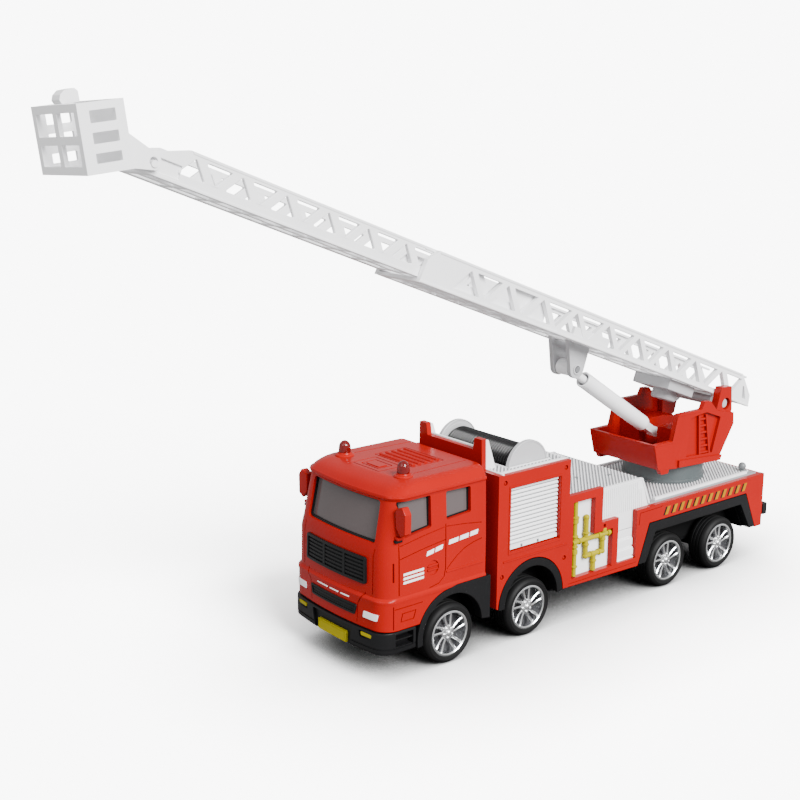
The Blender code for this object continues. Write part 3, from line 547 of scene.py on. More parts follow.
def cab_grooves():
    """Door seams, swage lines and the slot behind the front corner."""
    curve = [(-2.2, 33.6), (0.0, 35.6), (2.6, 37.6), (5.6, 39.3), (9.2, 40.4), (13.0, 41.0)]
    door = [(-22.1, 29.2), (-22.2, 46.5)]
    between = [(-9.5, 28.9), (-5.6, 29.6), (-3.3, 31.4), (-2.7, 34.0), (-2.7, 49.2)]
    upper = [(-22.2, 45.6), (-12.0, 47.2), (-2.7, 48.3), (5.0, 47.6), (12.9, 46.5)]
    middle_line = [(-22.1, 41.3), (-12.0, 42.9), (-2.9, 43.9)]
    seams = side_lines(0.32, (door, upper, middle_line, curve))
    door_seam = side_lines(0.32, (between,))
    slot = bmesh.new()
    low = bmesh.new()
    for side, _ in SIDES:
        prism(slot, "YZ", ribbon([(-24.1, 34.0), (-24.1, 40.4)], 0.5), sided(side, 23.6, 26.5))
        prism(slot, "YZ", circle((-8.1, 35.5), 2.5), sided(side, 24.25, 26.5))
        prism(low, "YZ", ribbon([(-24.0, 25.0), (-12.6, 25.0)], 0.3), sided(side, 24.6, 26.5))
        prism(low, "YZ", ribbon([(-24.4, 26.0), (-24.4, 18.2)], 0.3), sided(side, 24.3, 26.5))
        trap = [(-21.8, 20.2), (-16.2, 20.2), (-15.2, 23.2), (-21.0, 23.2)]
        prism(low, "YZ", trap, sided(side, 24.65, 26.5), [inset(trap, 0.35)])
    return [seams, door_seam, slot, low]


def front_grooves():
    """Seams beside the grille, under the windscreen and round the centre fascia."""
    lines = []
    for side, _ in SIDES:
        lines.append([(side * 18.6, 29.3), (side * 18.6, 44.4)])
        lines.append([(side * 15.6, 29.2), (side * 12.9, 25.2), (side * 12.4, 18.6)])
    bm = bmesh.new()
    for line in lines:
        prism(bm, "XZ", ribbon(line, 0.32), (-0.8, 0.4))
    return on_front(bm)


def cab_windows_cut():
    """Cutter of the windscreen and the four side windows."""
    bm = bmesh.new()
    prism(bm, "XZ", rounded(WINDSCREEN, 1.3), (-40.0, -19.0))
    for window in (FRONT_WINDOW, REAR_WINDOW):
        prism(bm, "YZ", rounded(window, 0.7), (-40.0, 40.0))
    return bm


def make_cab():
    """Hollow cab skin with its openings and grooves, then roof ribs, swages and mirrors."""
    outside = [cab_ring(*level) for level in reversed(CAB_LEVELS)]
    inside = []
    for z in CAB_INNER:
        front, half = cab_level(z)
        inside.append(cab_ring(z, front, half, WALL))
    bm = bmesh.new()
    loft(bm, outside + inside)
    wheel = bmesh.new()
    opening = [(-14.0, 10.0)] + arc((0.5, 11.5), 15.5, 158, 94, 12)
    opening += [(2.0, CAB_BELT - 0.5), (30.0, CAB_BELT - 0.5), (30.0, 10.0)]
    prism(wheel, "YZ", opening, (-41.0, 41.0))
    roof = bmesh.new()
    for outline in (box_outline(-7.2, 7.2, -16.6, -6.6), box_outline(-4.6, 4.6, -14.8, -8.6),
                    box_outline(-10.2, 10.2, -5.0, 8.8)):
        shape = rounded(outline, 0.6)
        prism(roof, "XY", shape, (64.9, 66.0), [inset(shape, 0.4)])
    for side, _ in SIDES:
        prism(roof, "XY", ribbon([(side * 15.6, -9.0), (side * 14.6, 14.2)], 0.4), (64.95, 66.0))
    piece("cab_skin", bm, "truck", RED, stands_for=["cab_shell"], sharp=28.0,
          cuts=[cab_windows_cut(), wheel, front_grooves(), roof] + cab_grooves())

    bm = bmesh.new()
    for i in range(5):
        y = -3.2 + 2.6 * i
        section = ((y - 0.75, 65.1), (y + 0.9, 65.1), (y + 0.75, 65.45), (y - 0.1, 65.75), (y - 0.6, 65.5))
        prism(bm, "YZ", section, (-8.8, 8.8))
    hatch = rounded(box_outline(-3.4, 3.4, -13.6, -9.8), 0.6)
    prism(bm, "XY", hatch, (65.1, 65.45))
    for side, _ in SIDES:
        strip = ((-2.3, 32.4), (-2.3, 33.1), (13.9, 33.1), (13.9, 32.4))
        prism(bm, "YZ", strip, sided(side, 24.4, 24.95))
        for z in (36.3, 34.9):
            prism(bm, "YZ", box_outline(-10.2, -5.9, z - 0.3, z + 0.3), sided(side, 24.1, 24.75))
    piece("cab_mouldings", bm, "truck", RED, bevel=0.12)

    bm = bmesh.new()
    for side, _ in SIDES:
        outline = ((23.9, 52.0), (26.4, 49.4), (28.7, 50.7), (28.8, 57.2), (27.2, 59.4), (23.9, 58.2))
        prism(bm, "XZ", flipped(side, outline), (-23.2, -20.5))
        block(bm, sided(side, 23.2, 25.4), (-23.4, -21.2), (47.9, 49.0))
    piece("cab_mirrors", bm, "truck", RED, bevel=0.35)
    bm = bmesh.new()
    for side, _ in SIDES:
        block(bm, sided(side, 23.4, 25.0), (-23.6, -21.0), (47.1, 47.9))
        outline = ((25.0, 52.3), (26.5, 50.5), (27.9, 51.3), (28.0, 56.9), (26.9, 58.4), (25.0, 57.6))
        prism(bm, "XZ", flipped(side, outline), (-20.55, -20.35))
    piece("mirror_faces", bm, "truck", BLACK, bevel=0.1)


def make_windows():
    """Smoked band behind the openings, with black gaskets round the panes."""
    outer, inner = [], []
    for z in (46.4, 50.0, 56.0, 60.0, 61.4):
        front, half = cab_level(z)
        outer.append(cab_ring(z, front, half, WALL + 0.1))
        inner.append(cab_ring(z, front, half, WALL + 0.9))
    bm = bmesh.new()
    loft(bm, outer + inner[::-1], caps=False)
    piece("window_band", bm, "truck", SMOKE, stands_for=["cab_windows"], sharp=40.0)
    bm = bmesh.new()
    shape = rounded(inset(WINDSCREEN, -0.06), 1.3)
    prism(bm, "XZ", shape, (0.9, 1.65), [inset(shape, 0.62)])
    on_front(bm)
    for window in (FRONT_WINDOW, REAR_WINDOW):
        shape = rounded(inset(window, -0.05), 0.7)
        for side, _ in SIDES:
            prism(bm, "YZ", shape, sided(side, 22.5, 23.1), [inset(shape, 0.45)])
    piece("window_gaskets", bm, "truck", BLACK)


def make_front():
    """Grille, slot, lamps and the fascia's bars."""
    shape = rounded(((-16.1, 32.2), (16.1, 32.2), (15.9, 41.1), (-15.9, 41.1)), 0.9)
    hole = inset(shape, 0.9)
    bm = bmesh.new()
    prism(bm, "XZ", shape, (-0.75, 0.3), [hole])
    prism(bm, "XZ", inset(shape, 0.5), (-0.1, 0.3))
    for i in range(6):
        z = 34.0 + 1.28 * i
        prism(bm, "XZ", box_outline(-15.3, 15.3, z - 0.36, z + 0.36), (-0.5, 0.1))
    for x in (-5.4, 5.4):
        prism(bm, "XZ", box_outline(x - 0.55, x + 0.55, 33.0, 40.3), (-0.62, 0.1))
    piece("radiator_grille", on_front(bm), "truck", BLACK, stands_for=["grille"], bevel=0.1)

    shape = rounded(((-11.6, 20.9), (11.6, 20.9), (12.7, 24.5), (-12.7, 24.5)), 0.7)
    bm = bmesh.new()
    prism(bm, "XZ", shape, (-0.35, 0.3), [inset(shape, 0.7)])
    prism(bm, "XZ", inset(shape, 0.4), (-0.05, 0.3))
    for z in (22.1, 23.2):
        prism(bm, "XZ", box_outline(-11.4, 11.4, z - 0.2, z + 0.2), (-0.2, 0.2))
    piece("lower_slot", on_front(bm), "truck", BLACK, stands_for=["lower_grille"], bevel=0.08)

    lamps, rims, fogs = bmesh.new(), bmesh.new(), bmesh.new()
    for side, _ in SIDES:
        lamp = ((15.9, 23.4), (21.9, 23.4), (21.5, 21.2), (15.5, 21.2))
        shape = rounded(flipped(side, lamp), 0.35)
        prism(lamps, "XZ", shape, (-0.35, 0.2))
        prism(rims, "XZ", inset(shape, -0.3), (-0.12, 0.2))
        fog = ((14.9, 16.2), (20.1, 16.2), (20.3, 15.0), (15.2, 15.0))
        prism(fogs, "XZ", rounded(flipped(side, fog), 0.3), (-1.0, 0.2))
    piece("headlights", on_front(lamps), "truck", LAMP, bevel=0.1)
    piece("headlight_rims", on_front(rims), "truck", RED, bevel=0.08)
    piece("fog_lights", on_front(fogs), "truck", YELLOW, bevel=0.1)

    bm = bmesh.new()
    bars = ((-8.6, -2.6), (-1.4, 3.2), (4.4, 8.6))
    for x0, x1 in bars:
        prism(bm, "XZ", box_outline(x0, x1, 25.9, 26.3), (-0.2, 0.1))
    piece("fascia_bars", on_front(bm), "truck", PRINT, bevel=0.04)


def bumper_ring(z, inward):
    """Bumper outline in plan, U-shaped round the cab's lower front corners."""
    front, half, depth, end = -31.0, 25.05, 2.4, -15.4
    outer = [(x, y) for x, y, _ in cab_ring(z, front, half, inward) if y < end]
    inner = [(x, y) for x, y, _ in cab_ring(z, front, half, depth) if y < end]
    outline = [(half - inward, end)] + outer + [(inward - half, end), (depth - half, end)]
    outline += list(reversed(inner)) + [(half - depth, end)]
    return [(x, y, z) for x, y in outline]


def make_bumper():
    """Front bumper with its plate recess, lamp pockets and step boxes, and the plain number plate."""
    levels = ((9.7, 0.7), (10.3, 0.12), (11.6, 0.0), (11.7, 0.3), (12.0, 0.3), (12.1, 0.0),
              (16.8, 0.0), (17.2, 0.2))
    bm = bmesh.new()
    loft(bm, [bumper_ring(z, inward) for z, inward in levels])
    recess = bmesh.new()
    shape = rounded(((-9.4, 9.0), (9.4, 9.0), (10.8, 16.6), (-10.8, 16.6)), 0.7)
    prism(recess, "XZ", shape, (-33.0, -29.7))
    doors = bmesh.new()
    for side, _ in SIDES:
        prism(doors, "YZ", rounded(box_outline(-23.7, -16.4, 11.5, 16.5), 0.4), sided(side, 22.0, 27.0))
        pocket = ((14.0, 16.6), (21.2, 16.6), (21.4, 14.4), (14.4, 14.4))
        prism(doors, "XZ", rounded(flipped(side, pocket), 0.4), (-33.0, -29.6))
    piece("bumper", bm, "truck", BLACK, stands_for=["front_bumper"],
          cuts=[recess, doors], sharp=28.0)
    bm = bmesh.new()
    for side, _ in SIDES:
        block(bm, sided(side, 21.0, 22.2), (-24.4, -15.6), (9.9, 17.1))
        for z in (11.4, 14.0):
            block(bm, sided(side, 21.8, 24.6), (-23.8, -16.2), (z, z + 0.5))
    piece("step_boxes", bm, "truck", BLACK, bevel=0.12)
    plate = rounded(((-7.7, 9.95), (7.7, 9.95), (7.7, 13.7), (-7.7, 13.7)), 0.35)
    bm = bmesh.new()
    prism(bm, "XZ", plate, (-30.35, -29.6))
    prism(bm, "XZ", plate, (-30.5, -30.2), [inset(plate, 0.35)])
    piece("number_plate", bm, "truck", YELLOW, bevel=0.06)


def make_beacons():
    """Clear red domes over a dark reflector on round red bases."""
    top = CAB_LEVELS[-1][0]
    for side, word in SIDES:
        centre = (side * 15.6, -13.2, top - 0.25)
        bm = bmesh.new()
        turned(bm, ((0.0, 0.0), (3.35, 0.0), (3.35, 0.35), (3.0, 0.75), (2.5, 0.9), (2.35, 1.3), (0.0, 1.35)),
               centre, "Z", 40)
        piece(f"beacon_base_{word}", bm, "truck", RED)
        bm = bmesh.new()
        profile = [(0.0, 1.32), (2.05, 1.32), (2.1, 1.6), (2.05, 2.9)]
        profile += [(2.05 * math.cos(a), 2.9 + 2.4 * math.sin(a)) for a in (0.35, 0.7, 1.05, 1.35)]
        turned(bm, profile + [(0.0, 5.3)], centre, "Z", 40)
        piece(f"beacon_dome_{word}", bm, "truck", BEACON,
              stands_for=[f"beacon_{word}"], sharp=45.0)
        bm = bmesh.new()
        turned(bm, ((0.0, 1.4), (1.3, 1.4), (0.7, 2.0), (0.7, 3.2), (1.2, 3.5), (0.9, 4.1), (0.0, 4.2)),
               centre, "Z", 24)
        piece(f"beacon_bulb_{word}", bm, "truck", BLACK)


# ---------------------------------------------------------------- arches and equipment body
FRONT_WHEEL, MIDDLE_WHEEL = (0.5, 11.5), (36.6, 12.9)
FRONT_ARCH = arc(FRONT_WHEEL, 15.2, 188, 96, 18) + [(1.0, 27.3), (17.1, 27.3), (17.1, 11.9)]
FRONT_ARCH += arc(FRONT_WHEEL, 12.9, 4, 188, 28)
MIDDLE_ARCH = arc(MIDDLE_WHEEL, 15.4, 180, 0, 28) + arc(MIDDLE_WHEEL, 12.6, 0, 180, 28)
REAR_ARCH = [(92.4, 13.0), (97.9, 28.0), (155.8, 28.0), (162.8, 13.0), (159.4, 13.0), (152.8, 24.2),
             (101.3, 24.2), (96.4, 13.0)]
LINERS = (arc(FRONT_WHEEL, 13.4, 188, 4, 24), arc(MIDDLE_WHEEL, 13.1, 180, 0, 24),
          [(96.8, 13.0), (101.6, 24.7), (152.5, 24.7), (159.0, 13.0)])
RIVETS = ((23.2, 57.9), (52.0, 58.1), (22.4, 24.8), (52.4, 25.0))
SHUTTER_HOLE = box_outline(25.9, 49.5, 33.0, 55.5)
PIPE_HOLE = [(56.5, 16.0), (77.4, 16.0), (77.4, 30.6), (67.6, 30.6), (67.6, 44.3), (56.5, 44.3)]
SIDE_PANEL = [(20.3, 60.6), (20.3, 13.8)] + arc(MIDDLE_WHEEL, 15.7, 178, 2, 28)
SIDE_PANEL += [(91.9, 12.7), (97.6, 28.3), (156.1, 28.3), (163.2, 12.7), (167.2, 12.7), (167.2, 34.6),
               (90.4, 34.6), (90.4, 16.2), (80.4, 16.2), (80.4, 34.0), (71.6, 34.0), (71.6, 47.2),
               (54.3, 47.2), (54.3, 60.6)]


def make_arches():
    """Black wheel arches, and near-black sheets behind them as painted shade in the wheelhouses."""
    for name, outline, depth in (("front", FRONT_ARCH, 21.5), ("middle", MIDDLE_ARCH, 21.0),
                                 ("rear", REAR_ARCH, 20.6)):
        for side, word in SIDES:
            bm = bmesh.new()
            prism(bm, "YZ", outline, sided(side, depth, 25.2))
            piece(f"arch_{name}_{word}", bm, "truck", BLACK, bevel=0.3,
                  stands_for=[f"{name}_arch_{word}"])
    bm = bmesh.new()
    for line in LINERS:
        for side, _ in SIDES:
            prism(bm, "YZ", ribbon(line, 0.9), sided(side, 15.0, 21.8))
            prism(bm, "YZ", line, sided(side, 14.6, 15.2))
    # near-black liners and back walls: painted shade in the wheel wells
    piece("wheelhouses", bm, "truck", SHADOW)


def body_cuts():
    """Rivet dents, the notch beside the ladder recess and the fine panel seams."""
    dents = bmesh.new()
    seams = bmesh.new()
    for side, _ in SIDES:
        for centre in RIVETS:
            prism(dents, "YZ", circle(centre, 0.85, 16), sided(side, 24.2, 26.0))
        prism(dents, "YZ", box_outline(72.4, 73.5, 31.9, 33.1), sided(side, 24.0, 26.0))
        prism(seams, "YZ", ribbon([(91.8, 28.5), (92.2, 33.1), (104.2, 33.3)], 0.28), sided(side, 24.6, 26.0))
        prism(seams, "YZ", ribbon([(55.0, 14.4), (91.0, 14.4)], 0.22), sided(side, 24.7, 26.0))
    wheel = bmesh.new()
    prism(wheel, "YZ", arc(MIDDLE_WHEEL, 15.7, 178, 2, 28) + [(52.3, 5.0), (20.9, 5.0)], (-30.0, 30.0))
    door = rounded(box_outline(-15.0, 15.0, 15.6, 31.6), 1.2)
    prism(seams, "XZ", door, (167.0, 168.4), [inset(door, 0.4)])
    return [dents, seams, wheel]


def make_body():
    """Side panels, front wall with two horns and tail board, with their mouldings, stripes and lamps."""
    half_wall = [(25.0, 13.8), (25.0, 60.8), (16.4, 60.8), (16.1, 71.5), (12.5, 71.5), (11.8, 67.4)]
    wall = half_wall + [(-x, z) for x, z in reversed(half_wall)]
    left, rest = bmesh.new(), bmesh.new()
    prism(left, "YZ", SIDE_PANEL, (23.0, 25.0), (SHUTTER_HOLE, PIPE_HOLE))
    prism(rest, "YZ", SIDE_PANEL, (-25.0, -23.0), (SHUTTER_HOLE, PIPE_HOLE))
    prism(rest, "XZ", wall, (20.1, 22.1))
    block(rest, (-24.8, 24.8), (165.2, 167.4), (13.5, 34.4))
    piece("body_panels", left, "truck", RED, stands_for=["body_shell"], joins=[rest],
          cuts=body_cuts(), bevel=0.14, segments=1)

    bm = bmesh.new()
    frame_line = rounded(box_outline(25.0, 50.4, 32.1, 56.4), 0.4)
    frame_hole = rounded(box_outline(25.7, 49.7, 32.8, 55.7), 0.3)
    for side, _ in SIDES:
        prism(bm, "YZ", frame_line, sided(side, 24.9, 25.2), [frame_hole])
        block(bm, sided(side, 24.9, 25.3), (22.8, 53.6), (29.8, 30.3))
        for centre in RIVETS:
            prism(bm, "YZ", circle(centre, 0.45, 10), sided(side, 24.1, 24.75))
        block(bm, sided(side, 24.9, 25.15), (104.4, 158.0), (33.5, 33.8))
    for x in (-9.0, 9.0):
        block(bm, (x - 1.6, x + 1.6), (167.3, 167.9), (22.8, 23.6))
    for z in (18.6, 27.4):
        for x in (-15.6, 15.6):
            block(bm, (x - 0.5, x + 0.5), (167.3, 167.9), (z - 1.1, z + 1.1))
    piece("body_mouldings", bm, "truck", RED, bevel=0.08)

    stripes, shade = bmesh.new(), bmesh.new()
    count, start, pitch = 12, 106.2, 4.25
    for i in range(count):
        y = start + i * pitch
        for side, _ in SIDES:
            slant = [(y, 29.6), (y + 1.7, 29.6), (y + 3.1, 32.7), (y + 1.4, 32.7)]
            prism(stripes, "YZ", slant, sided(side, 24.9, 25.12))
            # black copy set a little forward and down under each stripe: painted shadow of the raised stripe
            prism(shade, "YZ", [(a - 0.85, b - 0.05) for a, b in slant], sided(side, 24.9, 25.06))
    piece("hazard_stripes", stripes, "truck", AMBER)
    piece("hazard_stripe_painted_shadows", shade, "truck", BLACK)

    lamps = bmesh.new()
    for side, _ in SIDES:
        for z in (23.6, 27.6):
            shape = rounded(box_outline(side * 20.4 - 2.2, side * 20.4 + 2.2, z, z + 3.0), 0.5)
            prism(lamps, "XZ", shape, (167.2, 168.3))
    piece("tail_lamps", lamps, "truck", BEACON, bevel=0.25)
    plate = bmesh.new()
    block(plate, (-5.6, 5.6), (170.7, 171.0), (17.7, 20.7))
    piece("rear_plate", plate, "truck", YELLOW, bevel=0.06)


def make_cab_prints():
    """Plain white bars where the toy has its print."""
    bm = bmesh.new()
    for side, _ in SIDES:
        for z in (32.7, 34.1, 35.5):
            bar = [(-20.4, z), (-12.0, z + 0.15), (-11.9, z + 0.95), (-20.3, z + 0.8)]
            prism(bm, "YZ", bar, sided(side, 24.6, 24.76))
        for y0, y1, z0, z1 in ((-10.9, -7.9, 40.0, 40.5), (-7.3, -4.2, 40.6, 41.1), (-1.5, 2.5, 41.9, 42.2),
                               (3.2, 7.0, 42.3, 42.6), (7.7, 11.1, 42.7, 43.0)):
            bar = [(y0, z0), (y1, z1), (y1 + 0.3, z1 + 1.5), (y0 + 0.3, z0 + 1.5)]
            prism(bm, "YZ", bar, sided(side, 24.6, 24.76))
    piece("cab_side_bars", bm, "truck", PRINT)


# ---------------------------------------------------------------- deck
def tread(bm, rect, z, hole=None, pitch=1.15, width=0.62, height=0.34):
    """Parallel ribs at 45 degrees over a rectangle (x0, x1, y0, y1), left out over a hole."""
    x0, x1, y0, y1 = rect
    steps = int((x1 - x0 + y1 - y0) / (pitch * math.sqrt(2.0)))
    for i in range(1, steps):
        total = x0 + y0 + i * (x1 - x0 + y1 - y0) / steps
        runs = [(max(x0, total - y1), min(x1, total - y0))]
        if hole:
            gap = (max(hole[0], total - hole[3]), min(hole[1], total - hole[2]))
            if gap[0] < gap[1]:
                runs = [(runs[0][0], gap[0]), (gap[1], runs[0][1])]
        for low, high in runs:
            if high - low < 0.8:
                continue
            rings = []
            for x in (low, high):
                along = Vector((x, total - x))
                across = Vector((math.sqrt(0.5), math.sqrt(0.5)))
                section = ((-0.5, -0.1), (-0.32, height), (0.32, height), (0.5, -0.1))
                rings.append([(*(along + across * width * side), z + rise) for side, rise in section])
            loft(bm, rings)


def step_outline():
    """Five steps in the side of the deck, each reaching a little further than the one above."""
    steps, top_edge, rise, back = 5, 34.8, 3.7, 21.7
    points = [(back, top_edge)]
    for level in range(steps):
        reach, top = 22.1 + 0.5 * level, top_edge - rise * level
        low = top_edge - rise * (level + 1)
        points += [(reach, top), (reach, low + 1.1), (reach - 0.6, low + 1.0), (reach - 0.6, low + 0.6),
                   (reach + 0.15, low + 0.45), (reach + 0.15, low)]
    return points + [(back, top_edge - rise * steps)]


def screw_hole(bm, low, high):
    """Add the bore of the turret's pivot screw to a cutter."""
    turned(bm, ((0.0, low), (2.5, low), (2.5, high), (0.0, high)), TURNTABLE, "Z", 24)


def make_deck():
    """Deck in three levels with its reel well, edges, steps, gussets and ribbed treads; its base moulding is
    painted dark grey as the shade between the ribs.
    """
    outside = [(22.4, 60.6), (54.3, 60.6), (54.3, 45.5), (95.0, 45.5), (99.5, 35.0), (164.9, 35.0)]
    inside = [(164.9, 33.4), (98.2, 33.4), (93.8, 43.9), (52.7, 43.9), (52.7, 59.0), (22.4, 59.0)]
    skirt = [(53.3, 14.6), (91.0, 14.6), (91.0, 34.0), (99.0, 34.0), (95.0, 45.3), (53.3, 45.3)]
    gusset = ((22.2, 60.3), (27.0, 60.3), (23.4, 70.9), (22.2, 70.9))
    bm = bmesh.new()
    prism(bm, "YZ", outside + inside, (-22.7, 22.7))
    well = bmesh.new()
    block(well, (-19.2, 19.2), (29.8, 49.2), (50.0, 70.0))
    screw_hole(well, 20.0, 40.0)
    # the base moulding is dark grey: painted shade showing between the white ribs
    piece("deck_moulding", bm, "truck", DECK_SHADE, stands_for=["deck"], cuts=[well], bevel=0.25)

    bm = bmesh.new()
    for side, _ in SIDES:
        prism(bm, "YZ", skirt, sided(side, 21.1, 22.75))
        edge = ribbon([(71.0, 45.35), (95.0, 45.35), (99.4, 35.1)], 0.8)
        prism(bm, "YZ", edge, sided(side, 21.7, 23.0))
        block(bm, sided(side, 21.7, 22.9), (23.0, 54.3), (60.0, 60.95))
        block(bm, sided(side, 21.7, 22.9), (54.3, 71.6), (45.0, 45.9))
        prism(bm, "XZ", flipped(side, step_outline()), (80.7, 90.1))
        prism(bm, "YZ", gusset, sided(side, 12.6, 16.0))
        block(bm, sided(side, 20.6, 21.9), (104.0, 160.0), (34.8, 35.9))
        block(bm, sided(side, 16.2, 24.6), (22.0, 22.9), (60.2, 61.1))
    block(bm, (-12.6, 12.6), (22.0, 22.9), (60.2, 67.9))
    block(bm, (-22.7, 22.7), (53.7, 54.4), (59.9, 60.95))
    block(bm, (-19.9, 19.9), (29.2, 29.9), (47.0, 60.9))
    block(bm, (-19.9, 19.9), (49.1, 49.8), (47.0, 60.9))
    block(bm, (-19.9, 19.9), (29.2, 49.8), (46.6, 47.4))
    for side, _ in SIDES:
        block(bm, sided(side, 19.2, 19.9), (29.2, 49.8), (47.0, 60.9))
    piece("deck_fittings", bm, "truck", DECK, bevel=0.12)

    bm = bmesh.new()
    tread(bm, (-22.2, 22.2, 23.4, 53.8), 60.6, hole=(-20.4, 20.4, 28.7, 50.3))
    tread(bm, (-21.6, 21.6, 55.0, 94.3), 45.5)
    tread(bm, (-20.2, 20.2, 100.4, 164.2), 35.0)
    for side, _ in SIDES:
        for i in range(21):
            y = 72.6 + 1.12 * i
            high = 44.7 if y < 93.6 else 42.0
            rib = ribbon([(y + 0.5, 34.6), (y - 0.4, high)], 0.55)
            prism(bm, "YZ", rib, sided(side, 22.6, 22.98))
    for i in range(38):
        x = -20.9 + 1.13 * i
        prism(bm, "YZ", [(95.15, 45.0), (95.55, 45.05), (99.6, 35.6), (99.2, 35.5)], (x, x + 0.55))
    for i in range(40):
        x = -22.0 + 1.1 * i
        prism(bm, "XY", box_outline(x, x + 0.5, 54.2, 54.6), (46.2, 59.9))
    piece("deck_tread", bm, "truck", DECK)

    bm = bmesh.new()
    for x, y in ((-9.0, 66.0), (7.5, 76.0), (12.5, 88.0), (-16.0, 84.0)):
        rod(bm, 0.7, (45.5, 46.0), (x, y, 0.0), "Z", 12, 0.1)
    piece("deck_plugs", bm, "truck", GREY)


def make_shutters():
    """Slatted roller shutters with a bottom rail, two catches and a grey block behind the slats, painted
    shade in the gaps between them.
    """
    slats, bottom, top = 14, 34.9, 55.3
    pitch = (top - bottom) / slats
    face = [(22.9, 33.4), (24.1, 33.5), (24.1, 34.7), (23.2, 34.85)]
    for i in range(slats):
        z = bottom + i * pitch
        face += [(23.1, z + 0.02), (23.1, z + 0.3 * pitch), (23.95, z + 0.36 * pitch),
                 (24.05, z + 0.6 * pitch), (23.7, z + 0.97 * pitch)]
    face += [(22.9, top)]
    for side, word in SIDES:
        bm = bmesh.new()
        prism(bm, "XZ", flipped(side, face), (26.2, 49.2))
        piece(f"roller_shutter_{word}", bm, "truck", WHITE, slot="deck_white", stands_for=[f"shutter_{word}"])
        bm = bmesh.new()
        for y in (31.6, 39.4):
            block(bm, sided(side, 24.0, 24.35), (y, y + 0.8), (33.7, 34.6))
        piece(f"shutter_catches_{word}", bm, "truck", GREY, bevel=0.08)
        # grey block seen through the slat gaps: painted shade between the slats
        bm = bmesh.new()
        block(bm, sided(side, 22.75, 23.35), (26.3, 49.1), (35.0, 55.2))
        piece(f"shutter_gap_painted_shade_{word}", bm, "truck", GREY)


def make_pipes():
    """Pump pipework with flanges, elbows and tees."""
    x, pipe, knuckle = 23.9, 0.9, 1.08
    uprights = ((58.6, 16.3, 44.0), (64.4, 22.4, 37.2), (73.2, 22.4, 30.4), (68.6, 16.3, 22.6))
    levels = ((22.6, 64.4, 73.2), (29.0, 57.4, 77.1))
    collars = (("Z", 58.6, 36.2, 2.2, 1.3), ("Z", 58.6, 38.0, 0.6, 1.5), ("Z", 58.6, 30.9, 0.7, 1.3),
               ("Z", 58.6, 27.0, 0.7, 1.3), ("Z", 58.6, 24.6, 1.6, 1.25), ("Z", 58.6, 19.6, 0.7, 1.3),
               ("Z", 64.4, 31.0, 0.7, 1.25), ("Z", 64.4, 26.6, 0.7, 1.25), ("Z", 73.2, 30.2, 1.3, 1.4),
               ("Z", 73.2, 26.8, 0.7, 1.2), ("Z", 68.6, 19.6, 0.8, 1.2), ("Y", 29.0, 60.4, 0.7, 1.25),
               ("Y", 29.0, 70.6, 0.8, 1.3), ("Y", 29.0, 75.4, 0.7, 1.3), ("Y", 22.6, 66.8, 0.7, 1.2),
               ("Y", 22.6, 70.9, 0.7, 1.2))
    joints = ((58.6, 29.0), (64.4, 29.0), (73.2, 29.0), (64.4, 22.6), (73.2, 22.6), (68.6, 22.6),
              (64.4, 37.2))
    ball = [(0.0, -knuckle)]
    for i in range(1, 8):
        angle = math.pi * i / 8.0
        ball.append((knuckle * math.sin(angle), -knuckle * math.cos(angle)))
    ball.append((0.0, knuckle))
    for side, word in SIDES:
        bm = bmesh.new()
        for y, low, high in uprights:
            rod(bm, pipe, (low, high), (side * x, y, 0.0), "Z", 20, 0.1)
        for z, low, high in levels:
            rod(bm, pipe, (low, high), (side * x, 0.0, z), "Y", 20, 0.1)
        for axis, place, start, length, radius in collars:
            centre = (side * x, place, 0.0) if axis == "Z" else (side * x, 0.0, place)
            rod(bm, radius, (start, start + length), centre, axis, 20, 0.12)
        for y, z in joints:
            turned(bm, ball, (side * x, y, z), "Z", 20)
        piece(f"pump_pipework_{word}", bm, "truck", YELLOW, stands_for=[f"pump_pipes_{word}"])


def make_reel():
    """Black drum with wound ribs between two stepped cheeks, white parts painted pale grey as shade."""
    windings = 27
    pitch = 33.0 / windings
    profile = [(0.0, -18.5), (1.3, -18.5), (1.3, -17.0), (6.7, -17.0)]
    for i in range(windings):
        start = -16.5 + i * pitch
        profile += [(6.5, start), (7.1, start + 0.22 * pitch), (7.2, start + 0.5 * pitch),
                    (7.1, start + 0.78 * pitch)]
    profile += [(6.5, 16.5), (6.7, 17.0), (1.3, 17.0), (1.3, 18.5), (0.0, 18.5)]
    bm = bmesh.new()
    turned(bm, profile, segments=64)
    piece("reel_drum", bm, "hose_drum", HOSE, REEL, stands_for=["hose_drum"], sharp=50.0)
    cheek = ((1.6, 17.3), (8.0, 17.3), (8.15, 17.55), (8.9, 17.55), (9.1, 17.3), (9.4, 17.45), (9.4, 18.75),
             (9.25, 18.9), (8.75, 18.9), (8.6, 18.7), (2.8, 18.7), (2.6, 19.0), (1.6, 19.0))
    for side, word in SIDES:
        bm = bmesh.new()
        turned(bm, [(radius, side * along) for radius, along in cheek], segments=64)
        # white cheeks painted pale grey: painted shade in the reel's well
        piece(f"reel_disc_{word}", bm, "truck", SHADED_WHITE, REEL, slot="deck_white",
              stands_for=[f"reel_cheek_{word}"])


